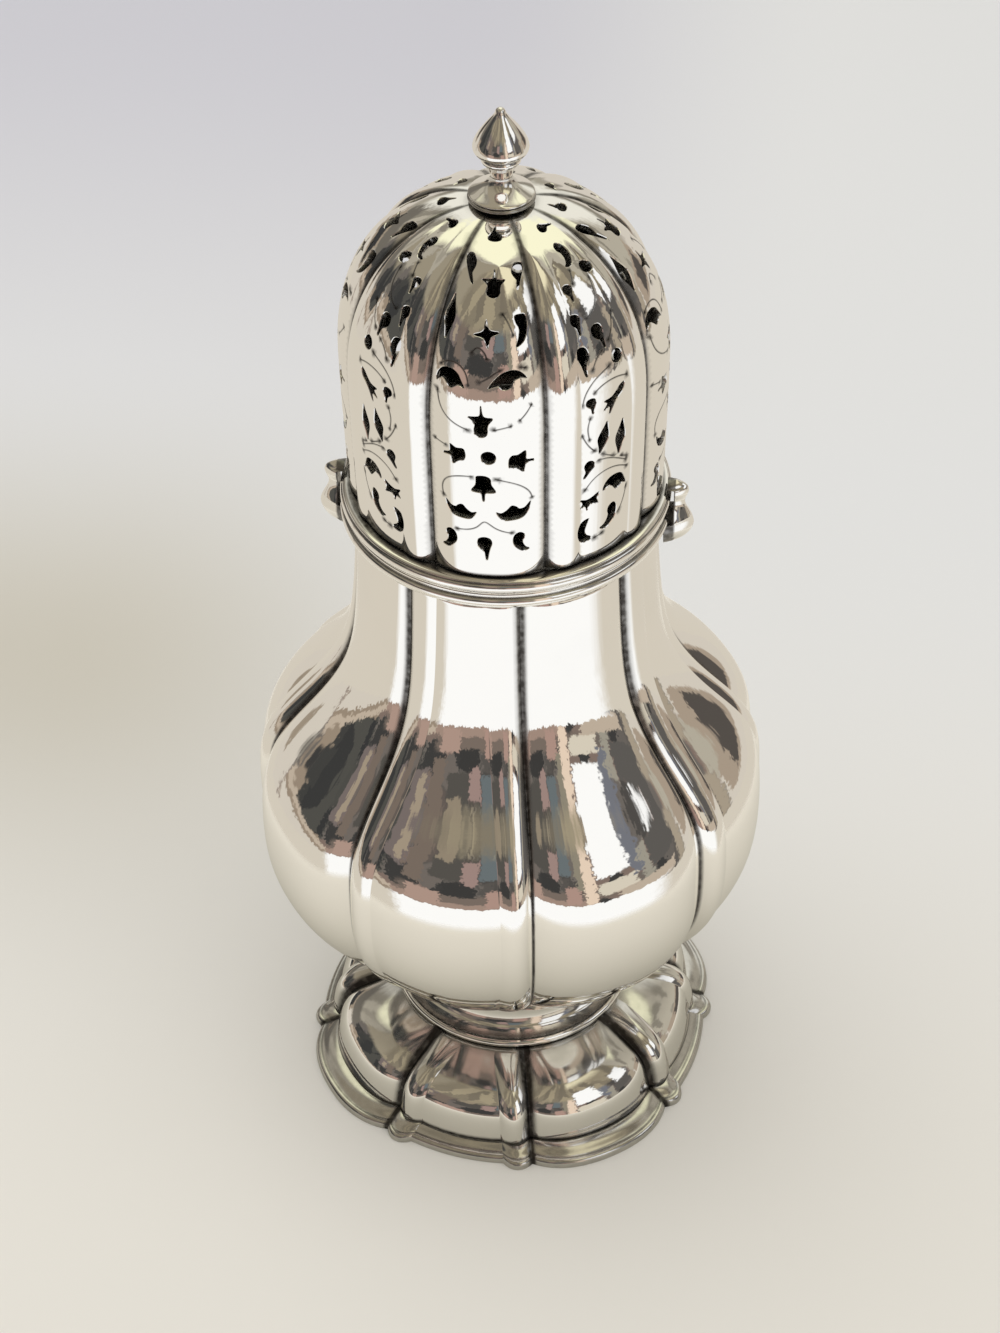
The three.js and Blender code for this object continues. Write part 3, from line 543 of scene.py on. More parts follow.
# A sector is laid out flat, with x the length round the sheet from its middle line and y the length
# up the crest line. It is cut into triangles and then bent to the dome. The sawn shapes are drawn
# with their heads up, as shares of their half width and half height.
SHAPES = {
    "dot": [(0, 1), (0.71, 0.71), (1, 0), (0.71, -0.71), (0, -1), (-0.71, -0.71), (-1, 0), (-0.71, 0.71)],
    "drop": [
        (-1, 0.45), (-0.77, 0.85), (0, 1), (0.77, 0.85), (1, 0.45), (0.81, 0.09), (0.6, -0.35), (0.4, -0.96),
        (0.1, -0.96), (-0.05, -0.35), (-0.47, -0.09), (-0.86, 0.16),
    ],
    "comma": [
        (-0.35, 0.77), (0.19, 1), (0.76, 0.77), (1, 0.23), (0.86, -0.3), (0.25, -0.79), (-0.35, -1),
        (-1, -0.86), (-0.56, -0.63), (-0.25, -0.27), (-0.19, 0.14), (-0.4, 0.41),
    ],
    "crescent": [
        (-1, 1), (-0.87, 0.02), (-0.49, -0.78), (0.16, -1), (0.65, -0.91), (1, -0.05), (0.7, -0.13),
        (0.38, 0.24), (0.11, 0.74), (-0.16, 0.57), (-0.32, 0.3), (-0.65, 0.4),
    ],
    "tulip": [
        (-0.59, 0.87), (-0.3, 1), (0.23, 0.98), (0.58, 0.76), (0.65, 0.3), (1, -0.25), (0.58, -0.37),
        (0.17, -0.42), (0.08, -1), (-0.1, -1), (-0.2, -0.44), (-0.62, -0.34), (-1, -0.23), (-0.65, 0.25),
    ],
    "crown": [
        (0.08, 1), (0.2, 0.46), (0.48, 0.32), (1, 0.27), (0.69, -0.07), (0.58, -0.4), (0.56, -0.75),
        (0.3, -0.97), (-0.1, -0.99), (-0.45, -0.8), (-0.52, -0.5), (-0.46, -0.19), (-0.64, 0.05), (-1, 0.3),
        (-0.37, 0.35), (-0.06, 0.46), (-0.02, 0.98),
    ],
    "brow": [
        (-1, -0.3), (-0.85, 0.37), (-0.49, 0.9), (0.08, 0.98), (0.53, 0.6), (0.76, 0), (1, -0.75),
        (0.62, -0.55), (0.36, -0.76), (0.08, -1), (-0.2, -0.57), (-0.49, -0.22), (-0.77, -0.41),
        (-0.94, -0.7),
    ],
    "eye": [
        (-1, -0.82), (-0.73, 0), (-0.28, 0.73), (0.25, 1), (0.7, 0.68), (1, -0.1), (0.7, 0.05), (0.34, -0.16),
        (0.1, -0.9), (-0.26, -0.98), (-0.46, -0.6), (-0.73, -0.66),
    ],
    "leaf": [
        (0.05, 1), (0.5, 0.6), (0.95, 0.15), (0.9, -0.2), (0.4, -0.65), (0, -1), (-0.35, -0.6),
        (-0.85, -0.15), (-0.75, 0.2), (-0.3, 0.65),
    ],
    "flower": [
        (0.02, 1), (0.25, 0.3), (1, 0.05), (0.3, -0.25), (0.05, -1), (-0.22, -0.3), (-1, 0), (-0.26, 0.25),
    ],
    "kidney": [
        (-0.9, 0.95), (0.1, 1), (0.75, 0.9), (1, 0.5), (0.85, -0.1), (0.35, -0.65), (-0.5, -0.95),
        (-0.95, -0.98), (-0.5, -0.4), (-0.35, 0.1), (-0.8, 0.5),
    ],
    "bow": [
        (-1, 0.45), (-0.4, 0.3), (0.2, 0.45), (1, 0.8), (0.78, 0.1), (0.92, -0.5), (0.3, -0.35),
        (-0.1, -0.45), (-0.3, -1), (-0.5, -0.45), (-1, -0.55), (-0.75, -0.05),
    ],
    "barb": [
        (0.15, 1), (0.6, 0.6), (0.5, 0.15), (0.55, -0.3), (0.95, -0.95), (0.25, -0.6), (-0.1, -1),
        (-0.35, -0.55), (-0.9, -0.6), (-0.4, -0.15), (-0.3, 0.25), (-0.25, 0.7),
    ],
    "hook": [
        (0.6, 1), (-0.35, 0.85), (-0.95, 0.3), (-0.95, -0.4), (-0.4, -0.95), (0.6, -0.98), (0.95, -0.7),
        (0.25, -0.4), (0.1, 0), (0.35, 0.5),
    ],
}

# Where the shapes lie: kind, share of the sector's half angle, share of the crest's length, turn in
# degrees, half width and half height in millimetres, and 1 or -1 for its hand.
LOBE_HOLES = [
    ("comma", -0.64, 0.1, 0, 1.15, 1.7, 1), ("drop", -0.04, 0.084, 0, 1.02, 2.0, 1),
    ("comma", 0.56, 0.102, 0, 1.15, 1.7, -1),
    ("crescent", -0.42, 0.192, 0, 2.2, 1.35, 1), ("crescent", 0.44, 0.194, 0, 2.4, 1.45, -1),
    ("tulip", -0.04, 0.263, 0, 1.68, 2.1, 1),
    ("tulip", -0.5, 0.352, -82, 1.6, 1.55, 1), ("dot", 0.05, 0.351, 0, 1.02, 1.05, 1),
    ("tulip", 0.57, 0.338, 86, 1.75, 1.7, 1), ("crown", -0.07, 0.448, 0, 1.68, 2.35, 1),
    ("brow", -0.6, 0.546, 0, 2.1, 1.35, 1), ("eye", 0.37, 0.552, 3, 2.6, 1.3, 1),
    ("leaf", -0.79, 0.68, 0, 0.86, 3.0, 1), ("flower", 0.0, 0.655, 5, 1.7, 1.9, 1),
    ("kidney", 0.66, 0.66, 0, 0.9, 2.1, 1), ("crown", 0.08, 0.768, 0, 1.55, 1.9, 1),
    ("drop", -0.57, 0.8, 22, 0.85, 2.2, -1), ("drop", 0.7, 0.782, -12, 0.9, 1.9, 1),
    ("drop", 0.0, 0.897, 180, 0.85, 1.3, 1),
]
STRAP_HOLES = [
    ("hook", -0.39, 0.088, 0, 1.1, 2.0, 1), ("comma", 0.05, 0.105, -12, 1.3, 2.1, 1),
    ("bow", -0.31, 0.172, 0, 1.5, 1.45, 1), ("brow", 0.17, 0.197, -8, 2.35, 1.3, 1),
    ("drop", -0.36, 0.268, -30, 0.8, 1.45, 1), ("leaf", -0.1, 0.345, -14, 1.0, 2.6, 1),
    ("leaf", 0.25, 0.322, -8, 1.1, 2.9, -1), ("barb", 0.12, 0.443, -52, 1.3, 2.5, 1),
    ("drop", -0.3, 0.443, 0, 0.8, 1.2, 1), ("dot", 0.26, 0.538, 0, 1.0, 1.0, 1),
    ("drop", -0.33, 0.556, 6, 0.9, 2.1, -1), ("drop", 0.02, 0.6, 8, 0.95, 1.8, 1),
    ("drop", -0.33, 0.642, 0, 0.75, 1.45, 1), ("drop", -0.26, 0.714, 0, 0.7, 1.2, 1),
    ("dot", 0.42, 0.753, 0, 0.9, 0.9, 1), ("comma", 0.1, 0.803, 10, 1.05, 1.9, 1),
    ("drop", 0.28, 0.885, 80, 0.8, 1.1, 1),
]

# Engraved lines, each a run of places as shares of the half angle and of the crest's length.
LOBE_LINES = [
    [(-0.72, 0.222), (-0.76, 0.252), (-0.65, 0.281), (-0.39, 0.293), (-0.2, 0.294)],
    [(0.75, 0.226), (0.71, 0.25), (0.5, 0.277), (0.12, 0.292)],
    [
        (-0.54, 0.132), (-0.3, 0.135), (-0.13, 0.147), (-0.04, 0.172), (0.11, 0.146), (0.31, 0.133),
        (0.5, 0.128),
    ],
    [(-0.86, 0.378), (-0.64, 0.37)],
    [(-0.82, 0.51), (-0.77, 0.47), (-0.56, 0.438), (-0.26, 0.424)],
    [(0.76, 0.486), (0.66, 0.465), (0.55, 0.45)], [(0.42, 0.438), (0.14, 0.428)],
    [(-0.86, 0.555), (-0.8, 0.574), (-0.62, 0.587), (-0.42, 0.582), (-0.3, 0.56), (-0.27, 0.535)],
    [(-0.1, 0.545), (0.05, 0.556), (0.2, 0.573), (0.42, 0.584), (0.7, 0.575)],
    [(-0.25, 0.612), (-0.15, 0.63), (0.0, 0.612), (0.02, 0.6)], [(0.3, 0.7), (0.42, 0.68), (0.5, 0.65)],
]
STRAP_LINES = [
    [(-0.36, 0.056), (-0.1, 0.056), (0.18, 0.085), (0.36, 0.125), (0.42, 0.17)],
    [(-0.4, 0.208), (-0.28, 0.235), (-0.05, 0.25), (0.2, 0.243), (0.42, 0.22)],
    [(-0.3, 0.285), (-0.05, 0.284), (0.16, 0.267), (0.4, 0.24)],
    [(-0.46, 0.372), (-0.36, 0.335), (-0.2, 0.307), (0.1, 0.277), (0.42, 0.25)],
    [(-0.32, 0.412), (-0.38, 0.385), (-0.33, 0.35)],
    [(-0.44, 0.45), (-0.4, 0.478), (-0.2, 0.512), (0.14, 0.528)],
    [(-0.42, 0.43), (-0.33, 0.465), (-0.1, 0.49), (0.2, 0.492), (0.42, 0.478)],
    [(-0.22, 0.53), (-0.12, 0.56), (0.12, 0.575), (0.3, 0.6), (0.42, 0.64)],
    [(-0.12, 0.648), (0.1, 0.66), (0.28, 0.69), (0.34, 0.73)], [(-0.1, 0.73), (0.0, 0.76), (0.02, 0.775)],
]
LINE_HALF, LINE_DEEP = 0.19, 0.09


def closed_curve(points, steps=4):
    """A closed Catmull-Rom curve through points, run anticlockwise."""
    rows = np.array(points, float)
    a, b, c, d = (np.roll(rows, k, 0)[:, None] for k in (1, 0, -1, -2))
    t = (np.arange(steps) / steps)[None, :, None]
    curve = 2 * b + (c - a) * t + (2 * a - 5 * b + 4 * c - d) * t ** 2 + (3 * b - a - 3 * c + d) * t ** 3
    curve = (curve / 2).reshape(-1, 2)
    following = np.roll(curve, -1, 0)
    area = (curve[:, 0] * following[:, 1] - curve[:, 1] * following[:, 0]).sum()
    return curve if area > 0 else curve[::-1]


def grown(ring, by):
    """An anticlockwise ring moved outwards, square to the line between each point's neighbours."""
    along = np.roll(ring, -1, 0) - np.roll(ring, 1, 0)
    along /= np.linalg.norm(along, axis=1)[:, None]
    return ring + by * np.stack([along[:, 1], -along[:, 0]], -1)


def flat_hole(hole, half, grow):
    """A shape's ring on the flat sector: its width is kept where the sheet narrows."""
    kind, aside, up, degrees, wide, tall, hand = hole
    ring = closed_curve(SHAPES[kind]) * (hand * wide, tall)
    turn = math.radians(degrees)
    ring = ring @ np.array([[math.cos(turn), math.sin(turn)], [-math.sin(turn), math.cos(turn)]])
    if hand < 0:
        ring = ring[::-1]
    ring = grown(ring, grow)
    y = up * CREST + ring[:, 1]
    angle = aside * half + ring[:, 0] / crest_radius(up * CREST)
    return np.stack([angle * crest_radius(y), y], -1)


def within(points, ring):
    """Which points lie within a closed ring, by the number of its sides that a level line crosses."""
    (x, y), (x0, y0), (x1, y1) = points.T[:, :, None], ring.T[:, None], np.roll(ring, -1, 0).T[:, None]
    crosses = (y0 > y) != (y1 > y)
    rise = np.where(y1 == y0, 1, y1 - y0)
    return (crosses & (x < x0 + (y - y0) / rise * (x1 - x0))).sum(1) % 2 == 1


def gap_to(points, starts, ends):
    """Each point's distance from the nearest of many straight pieces."""
    way = ends - starts
    t = ((points[:, None] - starts) * way).sum(-1) / np.maximum((way ** 2).sum(-1), 1e-12)
    near = starts + np.clip(t, 0, 1)[..., None] * way
    return np.linalg.norm(points[:, None] - near, axis=-1).min(1)


def clear_runs(line, clear):
    """The stretches of a line whose points are all clear."""
    cuts = np.flatnonzero(np.diff(clear.astype(int))) + 1
    parts = zip(np.split(line, cuts), np.split(clear, cuts))
    return [part for part, kept in parts if kept[0] and len(part) > 3]


def flat_lines(lines, half, hole_starts, hole_ends):
    """Runs of points along the engraved lines, kept clear of the openings and the sector's sides."""
    runs = []
    for line in lines:
        share = spline(line, 8 * len(line))
        y = share[:, 1] * CREST
        run = np.stack([share[:, 0] * half * crest_radius(y), y], -1)
        clear = gap_to(run, hole_starts, hole_ends) > LINE_HALF + 0.2
        clear &= np.abs(run[:, 0]) < half * crest_radius(y) - 0.5
        runs += clear_runs(run, clear)
    return runs


def flat_sector(half, strap, holes, lines, spacing, grow):
    """A flat sector cut into triangles along chains of points: its border, openings and engraving.

    Between the chains lies a grid of loose points, every other row moved half a step aside. Gives
    the points, the triangles, how many points the border and each opening have, and the runs of
    the engraved lines.
    """
    rows = np.linspace(0, CREST, CREST_ROWS)
    reach = half * crest_radius(rows)
    low = np.linspace(-1, 1, LOW_SIDES, endpoint=False) * reach[0]
    high = np.linspace(1, -1, TOP_SIDES, endpoint=False) * reach[-1]
    border = np.vstack([
        np.stack([low, np.zeros(LOW_SIDES)], -1), np.stack([reach, rows], -1)[:-1],
        np.stack([high, np.full(TOP_SIDES, CREST)], -1), np.stack([-reach, rows], -1)[:0:-1],
    ])
    rings = [flat_hole(hole, half, grow) for hole in holes]
    starts = np.vstack(rings)
    ends = np.vstack([np.roll(ring, -1, 0) for ring in rings])
    chains = [(border, True)] + [(ring, True) for ring in rings]
    runs = flat_lines(lines, half, starts, ends)
    for run in runs:
        along = np.gradient(run, axis=0)
        along /= np.linalg.norm(along, axis=1)[:, None]
        taper = np.minimum(1, np.minimum(np.arange(len(run)), np.arange(len(run))[::-1]) / 4 + 0.2)
        offset = np.stack([along[:, 1], -along[:, 0]], -1) * LINE_HALF * taper[:, None]
        chains += [(run, False), (run + offset, False), (run - offset, False)]
    beside = [reach - 0.25, reach - 0.55]
    if strap:
        beside += [strap_crease(rows, half), strap_crease(rows, half) + 0.3]
    for across in beside:
        for hand in (-1, 1):
            line = np.stack([hand * across, rows], -1)[1:-1]
            clear = (gap_to(line, starts, ends) > 0.25) & (across[1:-1] > 0.6)
            chains += [(run, False) for run in clear_runs(line, clear)]
    wide = math.ceil(reach.max() / spacing)
    levels = np.arange(0.5, CREST - 0.4, spacing * 0.87)
    grid_y, grid_x = np.meshgrid(levels, np.arange(-wide, wide + 1) * spacing, indexing="ij")
    grid_x = grid_x + spacing / 2 * (np.arange(len(grid_y)) % 2)[:, None]
    loose = np.stack([grid_x.ravel(), grid_y.ravel()], -1)
    loose = loose[np.abs(loose[:, 0]) < half * crest_radius(loose[:, 1]) - 0.6 * spacing]
    line_starts = np.vstack([chain[:-1] for chain, closed in chains if not closed] + [starts])
    line_ends = np.vstack([chain[1:] for chain, closed in chains if not closed] + [ends])
    loose = loose[gap_to(loose, line_starts, line_ends) > 0.35 * spacing]
    points = np.vstack([chain for chain, _ in chains] + [loose])
    edges, first = [], 0
    for chain, closed in chains:
        n = np.arange(first, first + len(chain))
        pairs = np.stack([n, np.roll(n, -1)], -1)
        edges += (pairs if closed else pairs[:-1]).tolist()
        first += len(chain)
    found = delaunay_2d_cdt([Vector(p) for p in points.tolist()], edges, [], 0, 1e-5, False)
    flat = np.array([tuple(v) for v in found[0]])
    flat[:len(points)] = points
    faces = np.array(found[2])
    middle = flat[faces].mean(1)
    kept = within(middle, border)
    for ring in rings:
        kept &= ~within(middle, ring)
    return flat, faces[kept], len(border), [len(ring) for ring in rings], runs


def cover_sector(half, strap, holes, lines, mirrored):
    """A sector about the front: points, faces, a normal for each face corner, and oxide with painted shade.

    The outer sheet is cut to a V along the engraved lines, as deep as one less the distance from
    the line over its half width. Each opening has a bevel, and then a wall to the inner sheet.
    """
    outer, outer_faces, border, ring_sizes, runs = flat_sector(half, strap, holes, lines, 0.6, EDGE_BEVEL)
    inner, inner_faces, _, _, _ = flat_sector(half, strap, holes, [], 1.1, 0)
    y = outer[:, 1]
    angle = outer[:, 0] / crest_radius(y)
    starts = np.vstack([run[:-1] for run in runs])
    ends = np.vstack([run[1:] for run in runs])
    cut = np.clip(1 - gap_to(outer, starts, ends) / LINE_HALF, 0, 1)
    depth = cut * LINE_DEEP / COVER_SHEET
    outer_points = cover_place(angle, y, depth, half, strap)
    outer_normals = cover_normal(angle, y, half, strap)
    inner_angle = inner[:, 0] / crest_radius(inner[:, 1])
    inner_points = cover_place(inner_angle, inner[:, 1], 1, half, strap)
    inner_normals = -cover_normal(inner_angle, inner[:, 1], half, strap)
    on_rings = slice(border, border + sum(ring_sizes))
    mid_points = cover_place(inner_angle[on_rings], inner[on_rings, 1], BEVEL_DEPTH, half, strap)
    # Darker down the grooves with oxide and painted shade, and in the engraved lines; painted shade along the
    # low edge by the rim, round the finial's foot along with dirt, and over the inside sheet.
    groove_gap = (half - np.abs(angle)) * crest_radius(y)
    reach = 0.2 + 0.55 * soft_step(crest_radius(y), 3, 9)
    tarnish_and_shade = np.maximum.reduce([
        0.9 * (1 - soft_step(groove_gap, 0.3 * reach, reach)), np.minimum(2 * cut, 1),
        0.9 * (1 - soft_step(y, 0.05, 0.5)), 0.5 * soft_step(y, CREST - 4.2, CREST - 2.5),
    ])
    points = np.vstack([outer_points, inner_points, mid_points])
    tarnish_and_shade = np.concatenate([tarnish_and_shade, np.full(len(inner_points), 0.75), np.full(len(mid_points), 0.3)])
    faces = [outer_faces, inner_faces[:, ::-1] + len(outer)]
    normals = [outer_normals[outer_faces], inner_normals[inner_faces[:, ::-1]]]
    shift = len(outer)
    last = shift + len(inner)
    first = border
    for size in ring_sizes:
        j = first + np.arange(size)
        k = first + (np.arange(size) + 1) % size
        mid_j, mid_k = last + j - border, last + k - border
        wall = np.cross(points[k] - points[j], inner_points[j] - points[j])
        wall /= np.linalg.norm(wall, axis=1)[:, None]
        wall_j = wall + np.roll(wall, 1, 0)
        wall_j /= np.linalg.norm(wall_j, axis=1)[:, None]
        wall_k = np.roll(wall_j, -1, 0)
        soft_j, soft_k = wall_j + outer_normals[j], wall_k + outer_normals[k]
        faces += [np.stack([j, k, mid_j], -1), np.stack([k, mid_k, mid_j], -1)]
        normals += [np.stack([soft_j, soft_k, soft_j], 1), np.stack([soft_k, soft_k, soft_j], 1)]
        faces += [np.stack([mid_j, mid_k, shift + j], -1), np.stack([mid_k, shift + k, shift + j], -1)]
        normals += [np.stack([wall_j, wall_k, wall_j], 1), np.stack([wall_k, wall_k, wall_j], 1)]
        first += size
    for begin, count in ((0, LOW_SIDES), (LOW_SIDES + CREST_ROWS - 1, TOP_SIDES)):
        j = begin + np.arange(count)
        k = j + 1
        way = np.repeat([[[0, 0, -1.0]]], count, 0) if begin == 0 else -points[j][:, None] * (1, 1, 0)
        faces += [np.stack([k, j, shift + j], -1), np.stack([k, shift + j, shift + k], -1)]
        normals += [np.repeat(way, 3, 1)] * 2
    faces, normals = np.vstack(faces), np.concatenate(normals)
    normals /= np.linalg.norm(normals, axis=2)[..., None]
    if mirrored:
        points = points * (-1, 1, 1)
        faces, normals = faces[:, ::-1], normals[:, ::-1] * (-1, 1, 1)
    return points, faces, normals, tarnish_and_shade


lobe_sector = cover_sector(LOBE_HALF, False, LOBE_HOLES, LOBE_LINES, False)
strap_sectors = [
    cover_sector(QUARTER / 2 - LOBE_HALF, True, STRAP_HOLES, STRAP_LINES, mirrored)
    for mirrored in (False, True)
]
all_points, all_faces, all_normals, all_tarnish_and_shade, begin = [], [], [], [], 0
for turn in range(8):
    points, faces, normals, tarnish_and_shade = strap_sectors[turn // 2 % 2] if turn % 2 else lobe_sector
    a = turn * QUARTER / 2
    spin = np.array([[math.cos(a), math.sin(a), 0], [-math.sin(a), math.cos(a), 0], [0, 0, 1]])
    all_points.append(points @ spin)
    all_faces.append(faces + begin)
    all_normals.append(normals @ spin)
    all_tarnish_and_shade.append(tarnish_and_shade)
    begin += len(points)
points = np.vstack(all_points)
_, kept, joined = np.unique(np.round(points, 4), axis=0, return_index=True, return_inverse=True)
faces = joined.reshape(-1)[np.vstack(all_faces)]
piece("pierced_dome", "cover", pierced_silver, ["cover_dome"], points[kept], faces.tolist(),
      np.concatenate(all_tarnish_and_shade)[kept], np.concatenate(all_normals).reshape(-1, 3))


# Lugs: two cast straps soldered to the cover's side. Each has a round knob on the ledge, a narrow
# neck, and a drop-shaped lower part with a ridge down its outer edge that hooks under the body's rim.

LUG_LOW, LUG_TALL, LUG_BACK = 106.7, 11.0, 24.5
HOOK_TOP, HOOK_CLEAR, RIMS_CLEAR, TAB_CLEAR = 111.36, 23.02, 24.32, 23.32
lug_section = spline([
    [0.0, 23.5, 0.12], [0.02, 24.3, 0.8], [0.06, 25.4, 1.7], [0.14, 26.5, 2.6], [0.24, 27.1, 3.05],
    [0.33, 27.3, 3.2], [0.42, 27.1, 3.0], [0.51, 26.6, 2.4], [0.59, 26.1, 1.75], [0.66, 25.8, 1.35],
    [0.72, 25.9, 1.28], [0.77, 26.15, 1.42], [0.82, 26.35, 1.66], [0.87, 26.4, 1.72], [0.92, 26.2, 1.6],
    [0.965, 25.6, 1.15], [0.99, 24.9, 0.55], [1.0, 24.6, 0.12],
], 72)


def lug_rings(side):
    """Rings up the lug: each runs over the outer face, raised to a ridge, and back inside.

    The outer face stands proud by one less |v|^1.5, to the power 0.8, where v goes from -1 to 1
    across. The inner face clears the rims, steps in to the hook below them and to the tab above.
    """
    up, proud, half = lug_section.T
    height = LUG_LOW + up * LUG_TALL
    clear = np.where(height < HOOK_TOP, HOOK_CLEAR, np.where(height > COVER_LOW, TAB_CLEAR, RIMS_CLEAR))
    proud = np.maximum(proud, clear + 0.1)
    turn = np.linspace(0, np.pi, 33)
    v = -np.cos(turn)
    rise = (1 - np.abs(v) ** 1.5) ** 0.8
    out = clear[:, None] + (proud - clear)[:, None] * rise
    across = half[:, None] * v
    back = np.linspace(1, -1, 14)[1:-1]
    out = np.hstack([out, np.repeat(clear[:, None], len(back), 1)])
    across = np.hstack([across, half[:, None] * back])
    levels = np.repeat(height[:, None], out.shape[1], 1)
    return np.stack([side * out, side * across, levels], -1)


for node, side in (("lug_right", 1), ("lug_left", -1)):
    points, faces = skin(lug_rings(side), False)
    # Painted shade over the lug's inside, which faces the cover and the rims.
    tarnish_and_shade = 0.85 * (np.abs(points[:, 0]) < LUG_BACK)
    piece(node + "_strap", "cover", cast_silver, [node], points, faces, tarnish_and_shade)


# Room: polished silver shows little but its surroundings, so the world has them by direction. In
# front is a dim room with two bright windows under a khaki wall, behind the caster are paler walls
# under a pale yellow ceiling, and a light tabletop lies below them all.


def shade(red, green, blue):
    """A linear colour from three screen levels of 0 to 255."""
    return tuple((level / 255) ** 2.2 for level in (red, green, blue)) + (1,)


world = bpy.data.worlds.new("room")
bpy.context.scene.world = world
world.use_nodes = True
tree = world.node_tree
tree.nodes.clear()
start = Wire(tree)
direction = start.add("ShaderNodeTexCoord", {}, {}, "Generated")
east, north, rise = (start.add("ShaderNodeSeparateXYZ", {}, {0: direction}, axis) for axis in range(3))
side = start.maths("ARCTAN2", east, -1 * north) * (180 / math.pi)
lift = start.maths("ARCSINE", rise) * (180 / math.pi)
ripple = start.add("ShaderNodeTexNoise", {}, {"Vector": direction, "Scale": 7.0, "Detail": 2.0})
tremble = start.add("ShaderNodeTexNoise", {}, {"Vector": direction, "Scale": 26.0, "Detail": 1.0})
side = side + 6 * (ripple - 0.5) + 9 * (tremble - 0.5)
lift = lift + 4 * (ripple - 0.5) + 5 * (tremble - 0.5)
places = start.add("ShaderNodeCombineXYZ", {}, {"X": side / 11, "Y": lift / 26})
cells = start.add(
    "ShaderNodeTexVoronoi", {"feature": "SMOOTH_F1"},
    {"Vector": places, "Scale": 1.0, "Smoothness": 0.15, "Randomness": 0.9}, "Color",
)
tone = start.add("ShaderNodeSeparateColor", {}, {0: cells})
hue = start.add("ShaderNodeSeparateColor", {}, {0: cells}, "Green")


def pane(room, colour, left, right, low, high, soft=0.8):
    """The room with a colour over it between two directions to the side and two heights, in degrees."""
    return (lift.band(low, high, soft) * side.band(left, right, soft)).blend(room, colour)


room = tone.step(0.15, 0.85).blend(shade(66, 65, 64), shade(112, 106, 101))
room = hue.step(0.6, 0.72).blend(room, shade(128, 112, 104))
room = pane(room, shade(120, 108, 100), -46, 60, -9, 3, 3)
room = pane(room, tone.step(0.2, 0.8).blend(shade(60, 60, 60), shade(82, 81, 77)), -97, -58, -4, 46)
for levels, *limits in (
    ((160, 138, 126), -60, 34, -16, -8), ((172, 146, 134), -42, -21, -13, 4),
    ((172, 143, 132), 6, 20, -12, 9), ((64, 63, 62), -20, 0, 1, 16), ((118, 108, 105), -62, -46, 14, 40),
    ((119, 107, 98), -45, -33, 8, 40), ((86, 83, 79), -29, -9, 17, 40), ((145, 133, 116), -28, -16, 29, 46),
    ((156, 133, 127), -9, 0, 14, 31), ((105, 113, 116), 1, 13, 19, 40), ((141, 134, 119), 17, 24, 5, 40),
    ((230, 208, 187), 24, 33, -14, 40), ((214, 205, 188), 35, 58, -6, 8), ((116, 118, 126), 57, 65, 5, 40),
    ((156, 151, 139), 62, 68, -6, 22), ((94, 91, 88), 69, 94, 3, 22), ((189, 174, 157), 48, 88, -16, -5),
    ((166, 154, 137), 94, 103, -17, 15, 1.5), ((160, 146, 128), -56, -48, 17, 29),
    ((152, 137, 121), -103, -60, -18, -2), ((152, 137, 121), -103, -94, -18, 10, 1),
):
    room = pane(room, shade(*levels), *limits)

# Low on the left: bands of tan, brown and cream that slant up to the left
edge = lift + 0.27 * side
below = side.band(-105, -50, 1)
for levels, high, low in (
    ((190, 175, 158), -21.5, -23.5), ((152, 137, 121), -26.5, -28), ((210, 202, 190), -30, -31.5),
):
    room = (edge.step(high, low) * below).blend(room, shade(*levels))

# The khaki wall over the room, then its two windows and a patch of the ceiling
upper = tone.step(0.2, 0.8).blend(shade(122, 114, 100), shade(160, 149, 126))
upper = side.step(-70, -55).blend(shade(152, 143, 125), upper)
room = lift.step(30, 38).blend(room, upper)
room = pane(room, (1, 1, 1, 1), 35, 57, 14, 47, 1)
room = pane(room, shade(252, 252, 252), 76, 99, 23, 45, 1.5)
room = pane(room, shade(236, 226, 192), 30, 92, 62, 95, 5)

# Behind the caster: paler walls, the ceiling, and cream low down with dark stretches in it
around = start.maths("ABSOLUTE", side)
away = side.step(102, 105) + side.step(-105, -108)
walls = hue.step(0.3, 0.7).blend(shade(140, 134, 122), shade(178, 171, 156))
room = (away * lift.step(3, 9)).blend(room, walls)
room = (around.step(144, 156) * lift.step(12, 20)).blend(room, shade(236, 233, 222))
room = (around.step(112, 128) * lift.step(44, 50)).blend(room, shade(253, 250, 216))
room = pane(room, shade(112, 107, 99), -150, -104, 8, 26, 3)
room = (away * lift.step(9, 3)).blend(room, shade(210, 202, 190))
for levels, *limits in (
    ((167, 152, 136), 107, 144, -9, 9), ((86, 81, 77), 119, 140, -6.5, 6),
    ((156, 143, 127), -150, -122, -9, 9), ((62, 62, 62), -146, -127, -6, 5),
):
    room = pane(room, shade(*levels), *limits)

# The tabletop itself, cream all round and white in front
room = lift.step(-16.4, -17.6).blend(room, shade(212, 204, 190))
room = (lift.step(-14, -14.8) * side.step(-54, -44) * side.step(88, 66)).blend(room, (1, 1, 1, 1))
shown = start.add("ShaderNodeLightPath", {}, {}, "Is Glossy Ray").blend(shade(216, 215, 211), room)
background = start.add("ShaderNodeBackground", {}, {"Color": shown, "Strength": 1.0})
output = tree.nodes.new("ShaderNodeOutputWorld")
tree.links.new(background.socket, output.inputs["Surface"])


# Table: the pale top that the caster stands on, with painted shade far behind it to the left, cooler
# there, and a painted shadow at the left just behind the caster. What the silver mirrors of it has a
# painted shadow, darkest by the foot, and ends 140 mm out, and the room's directions go on there.

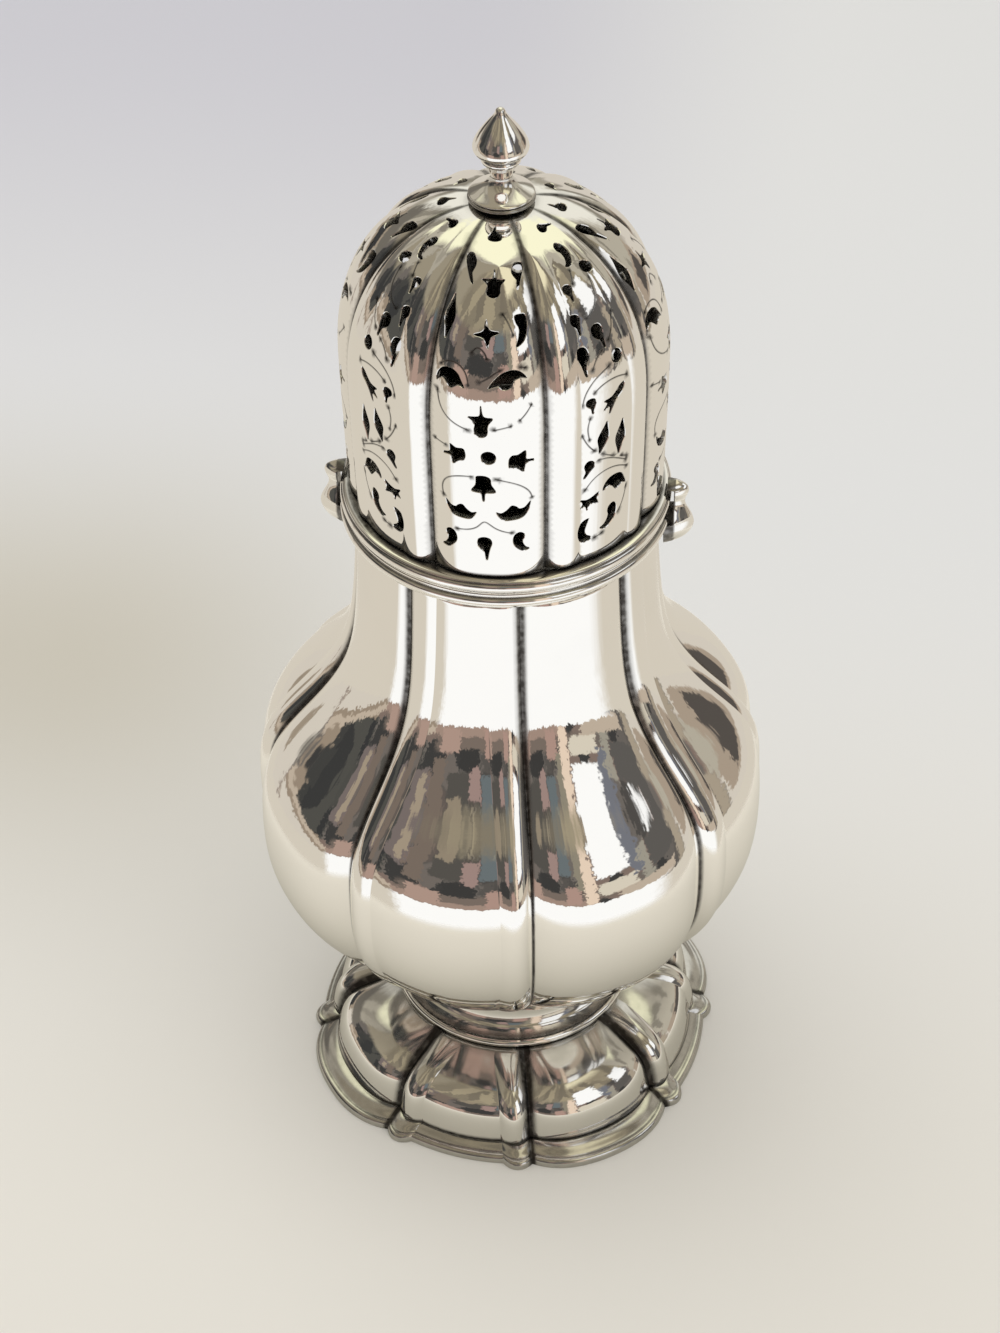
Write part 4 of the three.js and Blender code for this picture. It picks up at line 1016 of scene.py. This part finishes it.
floor_mesh = bpy.data.meshes.new("floor")
floor_mesh.from_pydata([(-3, -3, 0), (3, -3, 0), (3, 3, 0), (-3, 3, 0)], [], [(0, 1, 2, 3)])
floor = bpy.data.objects.new("floor", floor_mesh)
bpy.context.scene.collection.objects.link(floor)
cloth = bpy.data.materials.new("table")
cloth.use_nodes = True
tree = cloth.node_tree
start = Wire(tree)
diffuse = tree.nodes["Principled BSDF"]
diffuse.inputs["Roughness"].default_value = 0.9
place = start.add("ShaderNodeTexCoord", {}, {}, "Object")
across = start.add("ShaderNodeSeparateXYZ", {}, {0: place}, 0)
behind = start.add("ShaderNodeSeparateXYZ", {}, {0: place}, 1)
length = start.add("ShaderNodeVectorMath", {"operation": "LENGTH"}, {0: place}, "Value")
reflected = start.add("ShaderNodeLightPath", {}, {}, "Is Glossy Ray")
tint = behind.step(-0.06, 0.16).blend(shade(233, 229, 221), shade(228, 228, 228))
# Painted shade, darker and cooler, far behind on the left, and a painted shadow of the caster at the left
# just behind it.
far_left_shade = across.step(0.05, -0.05) * behind.step(0.1, 0.34) * behind.step(0.7, 0.4)
painted_shadow = across.step(0.0, -0.1) * behind.band(0.045, 0.12, 0.065)
tint = far_left_shade.blend(tint, shade(207, 206, 214))
tint = painted_shadow.blend(tint, shade(198, 191, 175))
# Reflected rays see a painted shadow on the table, darkest by the foot.
tint = reflected.blend(tint, length.step(0.03, 0.13).blend(shade(192, 187, 174), shade(234, 228, 217)))
tree.links.new(tint.socket, diffuse.inputs["Base Color"])
clear = start.add("ShaderNodeBsdfTransparent", {}, {})
far = start.maths("MAXIMUM", reflected * length.step(0.115, 0.14), length.step(0.45, 1.5))
mixed = start.add("ShaderNodeMixShader", {}, {0: far, 1: Wire(tree, diffuse.outputs[0]), 2: clear})
tree.links.new(mixed.socket, tree.nodes["Material Output"].inputs["Surface"])
floor_mesh.materials.append(cloth)

# Two wide lamps overhead for the daylight, which the silver doesn't mirror
for name, place in (("window", (-0.35, 0.2, 0.95)), ("sky", (0.4, -0.25, 1.0))):
    lamp = bpy.data.lights.new(name, "AREA")
    lamp.energy, lamp.shape, lamp.size = 2.2, "DISK", 1.0
    lit = bpy.data.objects.new(name, lamp)
    lit.location = place
    lit.rotation_mode = "QUATERNION"
    lit.rotation_quaternion = Vector(place).to_track_quat("Z", "Y")
    lit.visible_glossy = False
    bpy.context.scene.collection.objects.link(lit)


# Camera: the photograph's, from above the front and a little to the right.

DOWN, ROLL, PAN = math.radians(42), math.radians(-1), math.radians(7)
AIM, DISTANCE = Vector((-1.3, 0, 79.75)), 434.46
camera_data = bpy.data.cameras.new("camera")
camera = bpy.data.objects.new("camera", camera_data)
bpy.context.scene.collection.objects.link(camera)
camera_data.lens, camera_data.sensor_width = 77.0, 36
camera_data.clip_start, camera_data.clip_end = 0.01, 20
back = Vector((0, -math.cos(DOWN), math.sin(DOWN)))
right = Vector((1, 0, 0))
above = back.cross(right)
right_rolled = right * math.cos(ROLL) + above * math.sin(ROLL)
above_rolled = above * math.cos(ROLL) - right * math.sin(ROLL)
facing = Matrix((right_rolled, above_rolled, back)).transposed().to_4x4()
stand = Matrix.Translation(AIM * MM + back * DISTANCE * MM)
camera.matrix_world = Matrix.Rotation(PAN, 4, "Z") @ stand @ facing
bpy.context.scene.camera = camera
bpy.context.scene.view_settings.view_transform = "Standard"
